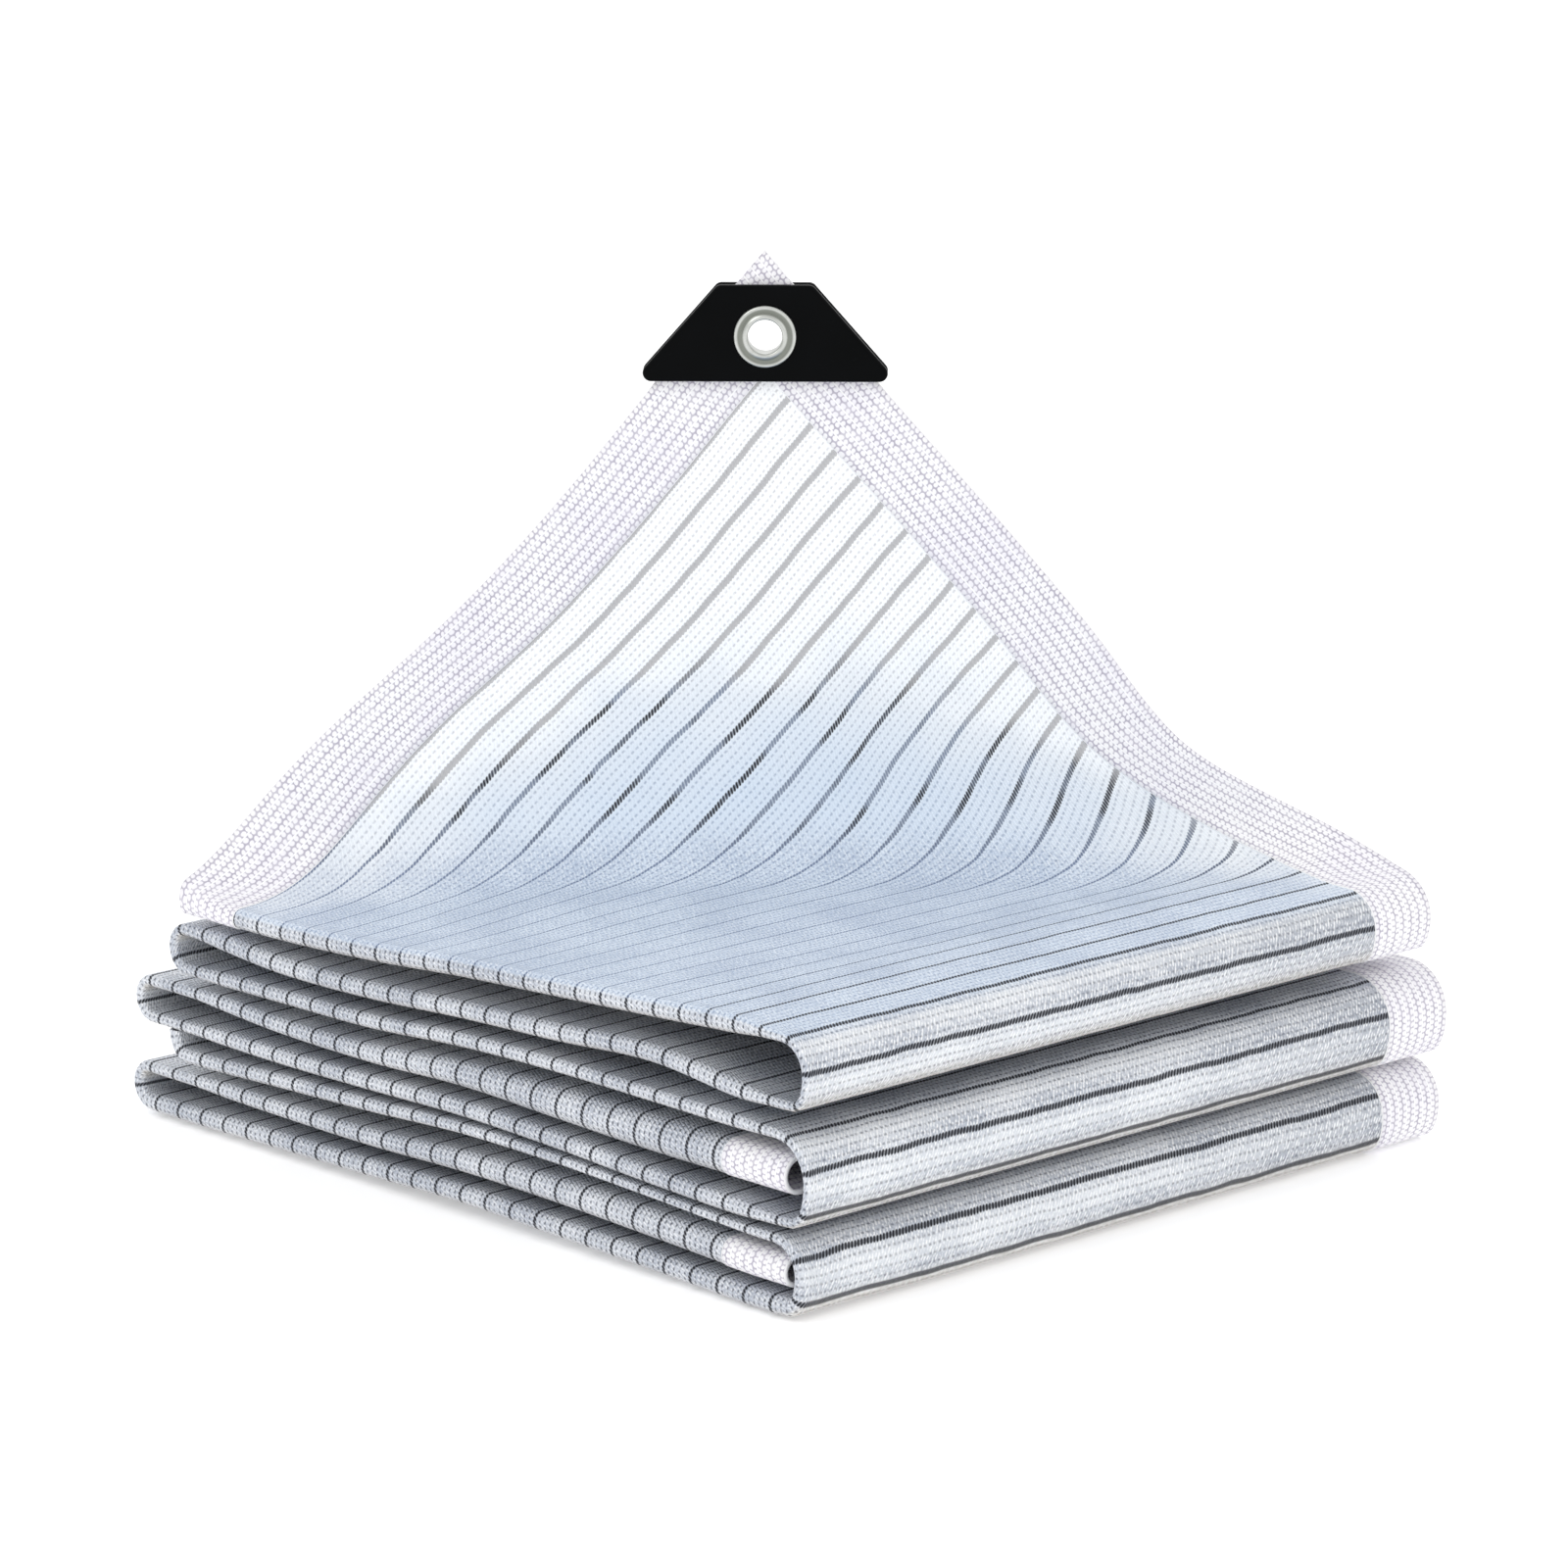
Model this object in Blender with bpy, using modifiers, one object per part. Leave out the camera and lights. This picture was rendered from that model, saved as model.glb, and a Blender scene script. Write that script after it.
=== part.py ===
"""A folded shade cloth, standing as a small stack with one corner raised.

The net is folded lengthwise into two plies, so each layer of the stack is a doubled layer with a round
crease on its left, and then back and forth. White webbing binds the selvedges and the ends. The free
corner of the top ply stands up from the stack's diagonal and carries a plastic clip with a metal eyelet.

Stack coordinates: x runs from the lengthwise crease to the selvedge, y from the near folds to the far
folds, z up. The finished part is turned so that the stack's diagonal lies along X and the raised
corner faces -Y, with the origin under the middle of its box.
"""

import math

import bmesh
import bpy
import numpy as np

# Cloth and webbing, metres
CLOTH_THICK = 0.0012
BAND_THICK = 0.0016
BAND_WIDTH = 0.028
GAP = 0.0003
SEAM_GAP = 0.0005

# Stack
STACK_WIDTH = 0.292
TOP_LENGTH = 0.290
TUCK_END = -0.001
TURN_TAPER = 0.022
CREASE_REACH = 0.120
EVEN_REACH = 0.060
BED_START = 0.020
BED_REACH = 0.040

# Doubled layers from the top down. The crease heights are those of the layer's middle at these
# distances from the near folds; the selvedge height is the even one that they settle to across the
# stack; the halves are half the layer's thickness at its near and far ends. A near or far end is
# either pinched into a turn or free.
STATIONS = (0.015, 0.060, 0.105, 0.150, 0.195, 0.240, 0.285)
COLUMNS = ("crease", "selvedge", "half_near", "half_far", "near_end", "far_end")
ROWS = {
    "top": ((0.0892, 0.0868, 0.0845, 0.0822, 0.0790, 0.0772, 0.0772), 0.0850, 0.0034, 0.0036, "turn", "free"),
    "second": ((0.0682, 0.0722, 0.0700, 0.0684, 0.0660, 0.0656, 0.0686), 0.0705, 0.0033, 0.0034, "turn", "turn"),
    "third": ((0.0585, 0.0590, 0.0594, 0.0585, 0.0558, 0.0553, 0.0550), 0.0580, 0.0026, 0.0028, "turn", "turn"),
    "fourth": ((0.0455, 0.0455, 0.0462, 0.0468, 0.0448, 0.0450, 0.0475), 0.0460, 0.0062, 0.0030, "free", "turn"),
    "fifth": ((0.0312, 0.0326, 0.0347, 0.0358, 0.0350, 0.0345, 0.0350), 0.0338, 0.0031, 0.0030, "turn", "turn"),
    "sixth": ((0.0254, 0.0273, 0.0290, 0.0294, 0.0275, 0.0262, 0.0248), 0.0255, 0.0016, 0.0028, "turn", "free"),
    "seventh": ((0.0152, 0.0168, 0.0180, 0.0180, 0.0165, 0.0165, 0.0172), 0.0152, 0.0050, 0.0030, "free", "turn"),
    "eighth": ((0.0040, 0.0052, 0.0062, 0.0072, 0.0062, 0.0055, 0.0048), 0.0034, 0.0034, 0.0034, "free", "free"),
}
LAYERS = {name: dict(zip(COLUMNS, row)) for name, row in ROWS.items()}

# The upper fold's selvedge lies a little further in than those below it
UPPER_NARROW = 0.028
NARROW_FROM = 0.060
NARROW_RISE = 0.010

# Turns: the layers that each joins, and where along y it leaves them
TURN_HALF_NEAR = 0.0019
TURN_HALF_FAR = 0.0023
FIRST_TURN_Y = 0.0015
SECOND_TURN_Y = 0.0040
THIRD_TURN_Y = 0.0045
UPPER_LOOP_Y = 0.2885
MIDDLE_LOOP_Y = 0.3075
LOWER_LOOP_Y = 0.3095
NEAR_FULLNESS = 0.45
LINK_Y = 0.2960
LINK_RADIUS = 0.0060

# Raised corner: where its bend starts and ends across the diagonal, and its slope there and higher up
BEND_BEFORE = 0.020
BEND_AFTER = 0.028
BEND_ANGLE = math.radians(80)
RAISED_ANGLE = math.radians(90)
RAISED_BY = 0.120
LEAN_LEFT = 0.0081
STRETCH_UP = 1.032
MIDDLE_WIDTH = 0.080
# How the stretched corner draws in, from the diagonal (0) to the tip (1): the share of the flat width
# that it keeps to the left and to the right, and the share of the lean
CORNER_SHARES = (0.0, 0.2, 0.4, 0.6, 0.8, 1.0)
DRAW_LEFT = (1.0, 0.978, 0.891, 0.848, 0.845, 0.854)
DRAW_RIGHT = (1.0, 0.855, 0.875, 0.888, 0.885, 0.858)
LEAN_SHARE = (0.0, 0.461, 0.714, 0.912, 1.041, 1.0)

# Clip and eyelet
CLIP_WIDTH = 0.0872
CLIP_TOP_WIDTH = 0.0311
CLIP_HEIGHT = 0.032
CLIP_THICK = 0.0032
CLIP_CORNER = 0.0028
CLIP_EDGE = 0.0008
CLIP_BELOW_TIP = 0.0112
EYELET_BELOW_TIP = 0.0280
EYELET_OUTER = 0.0103
EYELET_HOLE = 0.0056
EYELET_WALL = 0.0008
EYELET_RISE = 0.0016
EYELET_LIP = 0.0021
WASHER_OUTER = 0.0095
WASHER_THICK = 0.0008
EYELET_SIDES = 32
HOLE_CLEARANCE = 0.0005

# Mesh steps
FACE_STEP = 0.0217
COARSE_STEP = 0.0480
NEAR_CREASE = 0.0140
BACK_PLY_X = (0.014, 0.060, 0.120)
CREASE_ANGLES = (55, 18, -18, -55)
LAYER_STEPS = 6
TOP_STEPS = 12
CORNER_STEPS = 2
TURN_STEPS = 6
LINK_STEPS = 4
PROFILE_STEPS = 2000

COLOURS = {
    "net": ((0.62, 0.66, 0.73, 1.0), 0.45, 0.0),
    "webbing": ((0.88, 0.87, 0.91, 1.0), 0.8, 0.0),
    "clip": ((0.004, 0.005, 0.007, 1.0), 0.35, 0.0),
    "metal": ((0.47, 0.49, 0.46, 1.0), 0.3, 1.0),
}


def smooth(t):
    """An even rise from 0 to 1."""
    t = np.clip(t, 0.0, 1.0)
    return t * t * (3.0 - 2.0 * t)


def curve_through(stations, values, at):
    """A smooth curve through values at even stations, a cubic between each two and level beyond them."""
    values = np.asarray(values)
    ends = np.concatenate((values[:1], values, values[-1:]))
    place = np.clip((at - stations[0]) / (stations[1] - stations[0]), 0.0, len(values) - 1.0)
    cell = np.minimum(place.astype(int), len(values) - 2)
    t = place - cell
    a, b, c, d = (ends[cell + i] for i in range(4))
    return 0.5 * (2 * b + (c - a) * t + (2 * a - 5 * b + 4 * c - d) * t**2 + (3 * b - a - 3 * c + d) * t**3)


def layer_half(name, y):
    """Half the thickness of a doubled layer along y, pinched towards its turns."""
    row = LAYERS[name]
    half = row["half_near"] + (row["half_far"] - row["half_near"]) * smooth((y - 0.05) / 0.20)
    if row["near_end"] == "turn":
        pinch = 1 - smooth((y - SECOND_TURN_Y) / TURN_TAPER)
        half = half + (TURN_HALF_NEAR - half) * pinch
    if row["far_end"] == "turn":
        pinch = smooth((y - UPPER_LOOP_Y) / TURN_TAPER + 1)
        half = half + (TURN_HALF_FAR - half) * pinch
    return half


def layer_middle(name, x, y):
    """Height of a layer's middle: wavy along the crease, even towards the selvedge."""
    row = LAYERS[name]
    start = row["crease"][0]
    even = start + (row["selvedge"] - start) * smooth((y - STATIONS[0]) / EVEN_REACH)
    height = curve_through(STATIONS, row["crease"], y)
    height = height + (even - height) * smooth(x / CREASE_REACH)
    if name == "eighth":
        height = height + (layer_half(name, y) - height) * smooth((x - BED_START) / BED_REACH)
    return height


def along_layer(name, x, start, end, steps, raised=0.0):
    """Rows of (y, z, half, raised share) along a layer, one column for each x."""
    y = np.repeat(np.linspace(start, end, steps + 1)[:, None], len(x), axis=1)
    wide = np.broadcast_to(x, y.shape)
    return np.stack([y, layer_middle(name, wide, y), layer_half(name, y), np.full_like(y, raised)], axis=-1)


def around_turn(first, second, x, at, outward, raised=0.0):
    """Rows around a half circle from one layer to the next, without its two ends."""
    angle = np.linspace(0, math.pi, TURN_STEPS + 1)[1:-1, None]
    y = np.full_like(x, at)
    upper, lower = layer_middle(first, x, y), layer_middle(second, x, y)
    half = layer_half(first, y) + (layer_half(second, y) - layer_half(first, y)) * angle / math.pi
    radius = (upper - lower) / 2
    share = raised * (1 - smooth(angle / math.radians(130)))
    fullness = np.where((outward < 0) & (angle > math.pi / 2), NEAR_FULLNESS, 1.0)
    return np.stack(
        [
            at + np.abs(radius) * np.sin(angle) ** fullness * outward,
            (upper + lower) / 2 + radius * np.cos(angle),
            half,
            np.broadcast_to(share, half.shape),
        ],
        axis=-1,
    )


def down_link(x, trim):
    """Rows from the fifth layer's underside down to the start of the sixth layer."""
    angle = np.linspace(0, math.pi / 2, LINK_STEPS + 1)[:-1, None]
    y = np.full_like(x, LINK_Y)
    wall = layer_middle("fifth", x, y) - layer_half("fifth", y) - trim
    floor = layer_middle("sixth", x, y - LINK_RADIUS)
    run = y - LINK_RADIUS * (1 - np.cos(angle))
    drop = floor + (wall - floor) * (1 - np.sin(angle))
    half = np.broadcast_to(layer_half("sixth", y), run.shape)
    return np.stack([run, drop, half, np.zeros_like(run)], axis=-1)


def upper_path(x, end=TUCK_END):
    """The cloth's way from the raised corner's webbing, back and forth, to the end tucked in the second fold."""
    return np.concatenate([
        along_layer("top", x, TOP_LENGTH - BAND_WIDTH - SEAM_GAP, FIRST_TURN_Y, TOP_STEPS, raised=1.0),
        around_turn("top", "second", x, FIRST_TURN_Y, -1, raised=1.0),
        along_layer("second", x, FIRST_TURN_Y, UPPER_LOOP_Y, LAYER_STEPS),
        around_turn("second", "third", x, UPPER_LOOP_Y, 1),
        along_layer("third", x, UPPER_LOOP_Y, SECOND_TURN_Y, LAYER_STEPS),
        around_turn("third", "fifth", x, SECOND_TURN_Y, -1),
        along_layer("fifth", x, SECOND_TURN_Y, MIDDLE_LOOP_Y, LAYER_STEPS),
        around_turn("fifth", "fourth", x, MIDDLE_LOOP_Y, 1),
        along_layer("fourth", x, MIDDLE_LOOP_Y, end, LAYER_STEPS),
    ])


def corner_path(x):
    """The upper path with the raised corner's square before it."""
    square = along_layer("top", x, TOP_LENGTH, TOP_LENGTH - BAND_WIDTH - SEAM_GAP, CORNER_STEPS, raised=1.0)
    return np.concatenate([square, upper_path(x)[1:]])


def lower_path(x, trim=-CLOTH_THICK / 2, end=TUCK_END):
    """The cloth's way from the upper stack's underside to the end tucked in the third fold."""
    return np.concatenate([
        down_link(x, trim),
        along_layer("sixth", x, LINK_Y - LINK_RADIUS, THIRD_TURN_Y, LAYER_STEPS),
        around_turn("sixth", "eighth", x, THIRD_TURN_Y, -1),
        along_layer("eighth", x, THIRD_TURN_Y, LOWER_LOOP_Y, LAYER_STEPS),
        around_turn("eighth", "seventh", x, LOWER_LOOP_Y, 1),
        along_layer("seventh", x, LOWER_LOOP_Y, end, LAYER_STEPS),
    ])


def section(step):
    """A doubled layer's section as (x, side angle): the face ply inwards, the crease, the back ply outwards."""
    edge = STACK_WIDTH - BAND_WIDTH - SEAM_GAP
    columns = [(x, 90) for x in np.arange(edge, NEAR_CREASE, -step)]
    columns += [(0.0, angle) for angle in (90,) + CREASE_ANGLES + (-90,)]
    columns += [(x, -90) for x in BACK_PLY_X + (edge,)]
    return np.array(columns)


def bend_profile():
    """Distance out and up along the raised corner, for each distance across the diagonal."""
    diagonal = math.hypot(STACK_WIDTH, TOP_LENGTH)
    reach = STACK_WIDTH * TOP_LENGTH / diagonal
    across = np.linspace(-BEND_BEFORE, reach, PROFILE_STEPS)
    slope = BEND_ANGLE * smooth((across + BEND_BEFORE) / (BEND_BEFORE + BEND_AFTER))
    slope = slope + (RAISED_ANGLE - BEND_ANGLE) * smooth((across - BEND_AFTER) / (RAISED_BY - BEND_AFTER))
    step = across[1] - across[0]
    out = -BEND_BEFORE + np.concatenate(([0], np.cumsum(np.cos(slope[:-1]) * step)))
    up = np.concatenate(([0], np.cumsum(np.sin(slope[:-1]) * step)))
    return across, out, up, reach


def raise_corner(points, share):
    """Turns what lies beyond the stack's diagonal upwards, and draws it in as stretched net does."""
    diagonal = math.hypot(STACK_WIDTH, TOP_LENGTH)
    along = np.array([STACK_WIDTH, -TOP_LENGTH]) / diagonal
    across = np.array([TOP_LENGTH, STACK_WIDTH]) / diagonal
    foot = STACK_WIDTH**2 / diagonal
    flat = points[..., :2] - np.array([0.0, TOP_LENGTH])
    m = flat @ along - foot
    n = flat @ across
    profile, out, up, reach = bend_profile()
    height = n / reach
    left = curve_through(CORNER_SHARES, DRAW_LEFT, height)
    right = curve_through(CORNER_SHARES, DRAW_RIGHT, height)
    draw = left + (right - left) * smooth(m / MIDDLE_WIDTH + 0.5)
    lean = -LEAN_LEFT * curve_through(CORNER_SHARES, LEAN_SHARE, height)
    bent_m = m * draw + lean
    bent_n = np.where(n < profile[0], n, np.interp(n, profile, out))
    lift = np.interp(n, profile, up) * STRETCH_UP
    moved = (bent_m - m)[..., None] * along + (bent_n - n)[..., None] * across
    result = points.copy()
    result[..., :2] += share[..., None] * moved
    result[..., 2] += share * lift
    return result


def outer_surface(columns, path, falls=False):
    """Points of the doubled layer's outer face: rows along the path, columns around the section."""
    x, side = columns[:, 0], np.radians(columns[:, 1])
    rows = path(x)
    centre, half, raised = rows[..., :2], rows[..., 2], rows[..., 3]
    tangent = np.gradient(centre, axis=0)
    if falls:
        tangent[0] = (0.0, -1.0)
    tangent /= np.linalg.norm(tangent, axis=-1, keepdims=True)
    normal = np.stack([tangent[..., 1], -tangent[..., 0]], axis=-1)
    yz = centre + normal * (half * np.sin(side))[..., None]
    inward = np.where(x > 0, x, half * (1 - np.cos(side)))
    inward = inward * (1 - UPPER_NARROW * smooth((centre[..., 1] - NARROW_FROM) / NARROW_RISE))
    points = np.concatenate([inward[..., None], yz], axis=-1)
    return raise_corner(points, raised * smooth((np.sin(side) + 1) / 2))


def settle(points):
    """Lays what is a hair above or below the ground on it."""
    points[..., 2] = np.where(points[..., 2] < 0.0001, 0.0, points[..., 2])
    return points


def to_world(points):
    """From stack coordinates to the part's frame, before it is centred."""
    turn = math.atan2(TOP_LENGTH, STACK_WIDTH)
    spin = np.array([[math.cos(turn), -math.sin(turn), 0], [math.sin(turn), math.cos(turn), 0], [0, 0, 1]])
    return points @ spin.T


def make_material(name):
    colour, roughness, metallic = COLOURS[name]
    material = bpy.data.materials.new(name)
    material.use_nodes = True
    shader = material.node_tree.nodes["Principled BSDF"]
    shader.inputs["Base Color"].default_value = colour
    shader.inputs["Roughness"].default_value = roughness
    shader.inputs["Metallic"].default_value = metallic
    return material


def add_object(name, mesh, collection, material=None):
    obj = bpy.data.objects.new(name, mesh)
    collection.objects.link(obj)
    if material:
        mesh.materials.append(material)
    return obj


def make_sheet(name, surface, thickness, collection, material):
    """A grid whose points follow the surface, thickened inwards."""
    rows, columns = surface.shape[:2]
    grid = bmesh.new()
    bmesh.ops.create_grid(grid, x_segments=columns - 1, y_segments=rows - 1, size=1.0)
    for vertex in grid.verts:
        column = round((vertex.co.x + 1) / 2 * (columns - 1))
        row = round((vertex.co.y + 1) / 2 * (rows - 1))
        vertex.co = surface[row, column]
    mesh = bpy.data.meshes.new(name)
    grid.to_mesh(mesh)
    grid.free()
    mesh.shade_smooth()
    obj = add_object(name, mesh, collection, material)
    split = obj.modifiers.new("split along the bend", "TRIANGULATE")
    split.quad_method = "FIXED_ALTERNATE"
    wall = obj.modifiers.new("wall", "SOLIDIFY")
    wall.thickness = thickness
    wall.offset = -1
    return obj


def make_cloth(collection, cutters, materials):
    """The net: the upper folds with the raised corner, and the lower folds joined to their underside."""
    tuck = TUCK_END + BAND_WIDTH + SEAM_GAP
    upper = outer_surface(section(FACE_STEP), lambda x: upper_path(x, end=tuck))
    lower = settle(outer_surface(section(COARSE_STEP), lambda x: lower_path(x, end=tuck), falls=True))
    cloth = make_sheet("net_cloth", to_world(upper), CLOTH_THICK, collection, materials["net"])
    folds = make_sheet("lower_folds", to_world(lower), CLOTH_THICK, cutters, materials["net"])
    folds.hide_render = True
    folds.display_type = "WIRE"
    join = cloth.modifiers.new("join lower folds", "BOOLEAN")
    join.operation = "UNION"
    join.object = folds
    return [cloth, folds]


def make_side_bands(collection, materials):
    """Webbing along the selvedges of both plies, on the upper and on the lower folds."""
    across = tuple(np.linspace(STACK_WIDTH, STACK_WIDTH - BAND_WIDTH, 3))
    face = np.array([(x, 90) for x in across])
    under = np.array([(x, -90) for x in reversed(across)])
    made = []
    for name, columns in (("face", face), ("under", under)):
        upper = outer_surface(columns, corner_path)
        lower = settle(outer_surface(columns, lambda x: lower_path(x, trim=2 * GAP), falls=True))
        for part, surface in (("upper", upper), ("lower", lower)):
            label = f"side_band_{part}_{name}"
            made.append(make_sheet(label, to_world(surface), BAND_THICK, collection, materials["webbing"]))
    return made


def make_end_bands(collection, materials):
    """Webbing around the two plies at the raised corner's end and at the two tucked ends."""

    def end_strip(layer, start, end, raised):
        columns = section(FACE_STEP if raised else COARSE_STEP)
        return outer_surface(columns, lambda x: along_layer(layer, x, start, end, CORNER_STEPS, raised))

    ends = (
        ("end_band_top", "top", TOP_LENGTH, TOP_LENGTH - BAND_WIDTH, 1.0),
        ("end_band_tuck_upper", "fourth", TUCK_END + BAND_WIDTH, TUCK_END, 0.0),
        ("end_band_tuck_lower", "seventh", TUCK_END + BAND_WIDTH, TUCK_END, 0.0),
    )
    return [
        make_sheet(name, to_world(end_strip(layer, start, end, raised)), BAND_THICK, collection, materials["webbing"])
        for name, layer, start, end, raised in ends
    ]


def clip_outline():
    """The trapezoid's corners, rounded by arcs, as points around it with the clip's top middle at the origin."""
    foot, top = CLIP_WIDTH / 2, CLIP_TOP_WIDTH / 2
    corners = [(-foot, -CLIP_HEIGHT), (foot, -CLIP_HEIGHT), (top, 0.0), (-top, 0.0)]
    points = []
    for i, corner in enumerate(corners):
        here = np.array(corner)
        back = np.array(corners[i - 1]) - here
        ahead = np.array(corners[(i + 1) % 4]) - here
        back, ahead = back / np.linalg.norm(back), ahead / np.linalg.norm(ahead)
        half = math.acos(float(back @ ahead)) / 2
        middle = here + (back + ahead) / np.linalg.norm(back + ahead) * CLIP_CORNER / math.sin(half)
        first, last = (here + side * CLIP_CORNER / math.tan(half) - middle for side in (back, ahead))
        start = math.atan2(first[1], first[0])
        sweep = math.remainder(math.atan2(last[1], last[0]) - start, math.tau)
        for share in np.linspace(0, 1, 5):
            angle = start + sweep * share
            points.append(middle + CLIP_CORNER * np.array([math.cos(angle), math.sin(angle)]))
    return np.array(points)


def circle_points(radius, centre):
    angle = np.arange(EYELET_SIDES) * math.tau / EYELET_SIDES
    return np.stack([centre[0] + radius * np.cos(angle), centre[1] + radius * np.sin(angle)], axis=-1)


def make_clip_plate(name, place, hole, collection, material):
    """A moulded plate: its outline and eyelet hole as a flat curve with rounded edges, standing upright."""
    curve = bpy.data.curves.new(name, "CURVE")
    curve.dimensions = "2D"
    curve.fill_mode = "BOTH"
    curve.extrude = CLIP_THICK / 2 - CLIP_EDGE
    curve.bevel_depth = CLIP_EDGE
    curve.bevel_resolution = 1
    curve.offset = -CLIP_EDGE
    centre = (0.0, CLIP_BELOW_TIP - EYELET_BELOW_TIP)
    for outline in (clip_outline(), circle_points(hole, centre)):
        spline = curve.splines.new("POLY")
        spline.points.add(len(outline) - 1)
        flat = np.zeros((len(outline), 4))
        flat[:, :2] = outline
        flat[:, 3] = 1.0
        spline.points.foreach_set("co", flat.ravel())
        spline.use_cyclic_u = True
    guide = bpy.data.objects.new(name + " guide", curve)
    bpy.context.scene.collection.objects.link(guide)
    graph = bpy.context.evaluated_depsgraph_get()
    mesh = bpy.data.meshes.new_from_object(guide.evaluated_get(graph))
    bpy.data.objects.remove(guide)
    work = bmesh.new()
    work.from_mesh(mesh)
    bmesh.ops.remove_doubles(work, verts=work.verts, dist=0.00001)
    work.to_mesh(mesh)
    work.free()
    mesh.name = name
    plate = add_object(name, mesh, collection, material)
    plate.location = place
    plate.rotation_euler = (math.pi / 2, 0, 0)
    return plate


def make_turned(name, profile, place, collection, material):
    """A ring turned from (radius, distance along its axis) points, its axis along Y."""
    mesh = bpy.data.meshes.new(name)
    points = [(radius, 0.0, along) for radius, along in profile]
    edges = [(i, (i + 1) % len(points)) for i in range(len(points))]
    mesh.from_pydata(points, edges, [])
    ring = add_object(name, mesh, collection, material)
    turn = ring.modifiers.new("turn", "SCREW")
    turn.steps = EYELET_SIDES
    turn.render_steps = EYELET_SIDES
    turn.use_merge_vertices = True
    turn.merge_threshold = 0.00001
    turn.use_normal_flip = False
    ring.location = place
    ring.rotation_euler = (math.pi / 2, 0, 0)
    return ring


def make_corner_hardware(tip, collection, cutters, materials):
    """The clip's two plates on the webbing's corner, the eyelet through them and the washer behind."""
    barrel = EYELET_HOLE + EYELET_WALL
    hole = barrel + HOLE_CLEARANCE
    eye = np.array([tip[0], tip[1], tip[2] - EYELET_BELOW_TIP])
    clip_top = np.array([tip[0], tip[1], tip[2] - CLIP_BELOW_TIP])
    front = clip_top - np.array([0, GAP + CLIP_THICK / 2, 0])
    back = clip_top + np.array([0, BAND_THICK + GAP + CLIP_THICK / 2, 0])
    made = [
        make_clip_plate("clip_front", front, hole + CLIP_EDGE, collection, materials["clip"]),
        make_clip_plate("clip_back", back, hole + CLIP_EDGE, collection, materials["clip"]),
    ]
    face = GAP + CLIP_THICK + GAP
    rear = -(BAND_THICK + GAP + CLIP_THICK + GAP)
    under = rear - WASHER_THICK - GAP
    eyelet = (
        (EYELET_HOLE, under - EYELET_WALL),
        (EYELET_HOLE, face + EYELET_RISE * 0.6),
        (EYELET_HOLE + 0.0005, face + EYELET_RISE),
        (EYELET_HOLE + 0.0016, face + EYELET_RISE),
        (EYELET_OUTER - 0.0009, face + EYELET_RISE * 0.7),
        (EYELET_OUTER, face + EYELET_RISE * 0.2),
        (EYELET_OUTER, face),
        (barrel, face),
        (barrel, under),
        (barrel + EYELET_LIP, under),
        (barrel + EYELET_LIP, under - EYELET_WALL),
    )
    washer = (
        (barrel + GAP, rear),
        (barrel + GAP, rear - WASHER_THICK),
        (WASHER_OUTER, rear - WASHER_THICK),
        (WASHER_OUTER, rear),
    )
    made.append(make_turned("eyelet", eyelet, eye, collection, materials["metal"]))
    made.append(make_turned("eyelet_washer", washer[::-1], eye, collection, materials["metal"]))

    bpy.ops.mesh.primitive_cylinder_add(vertices=EYELET_SIDES, radius=hole, depth=0.02, location=eye)
    cutter = bpy.context.object
    cutter.name = "eyelet hole"
    cutter.rotation_euler = (math.pi / 2, 0, 0)
    for owner in list(cutter.users_collection):
        owner.objects.unlink(cutter)
    cutters.objects.link(cutter)
    cutter.hide_render = True
    cutter.display_type = "WIRE"
    cut = collection.objects["side_band_upper_face"].modifiers.new("eyelet hole", "BOOLEAN")
    cut.operation = "DIFFERENCE"
    cut.object = cutter
    return made + [cutter]


def centre_part(objects):
    """Moves the origin under the middle of the part's box."""
    graph = bpy.context.evaluated_depsgraph_get()
    low, high = np.full(3, np.inf), np.full(3, -np.inf)
    for obj in objects:
        if obj.hide_render:
            continue
        evaluated = obj.evaluated_get(graph)
        mesh = evaluated.to_mesh()
        points = np.empty(len(mesh.vertices) * 3, np.float32)
        mesh.vertices.foreach_get("co", points)
        world = np.array(obj.matrix_world)
        points = points.reshape(-1, 3) @ world[:3, :3].T + world[:3, 3]
        evaluated.to_mesh_clear()
        low, high = np.minimum(low, points.min(axis=0)), np.maximum(high, points.max(axis=0))
    shift = -(low + high) / 2
    shift[2] = -low[2]
    for obj in objects:
        obj.location.x += shift[0]
        obj.location.y += shift[1]
        obj.location.z += shift[2]
    bpy.context.view_layer.update()
    return low + shift, high + shift, shift


def main():
    for obj in list(bpy.data.objects):
        bpy.data.objects.remove(obj)
    collection = bpy.data.collections.new("shade cloth")
    cutters = bpy.data.collections.new("cutters")
    for group in (collection, cutters):
        bpy.context.scene.collection.children.link(group)
    materials = {name: make_material(name) for name in COLOURS}
    corner = np.array([[(STACK_WIDTH, 90.0)]])[0]
    surface = outer_surface(corner, corner_path)
    tip = to_world(surface)[0, 0]
    made = make_cloth(collection, cutters, materials)
    made += make_side_bands(collection, materials)
    made += make_end_bands(collection, materials)
    made += make_corner_hardware(tip, collection, cutters, materials)
    bpy.context.view_layer.update()
    low, high, shift = centre_part(made)
    print("box", low, high, "shift", shift, "tip", tip + shift)


main()
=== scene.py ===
# %% [markdown]
# # A folded shade cloth with one corner raised
#
# The cloth is a knitted net of silver foil tape with a dark thread every 12 mm. It is folded lengthwise
# into two plies, folded back and forth into a stack, and bound with white webbing. One corner of the top
# ply stands up and carries a black clip with an eyelet.
#
# Every fold could be sculpted, but a stack like this is one strip that follows one path. So the cloth is
# made as a grid with two parameters, the place along the path and the place around the doubled layer's
# section. The stripes then follow every fold by themselves, because they are lines of equal path length.

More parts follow.
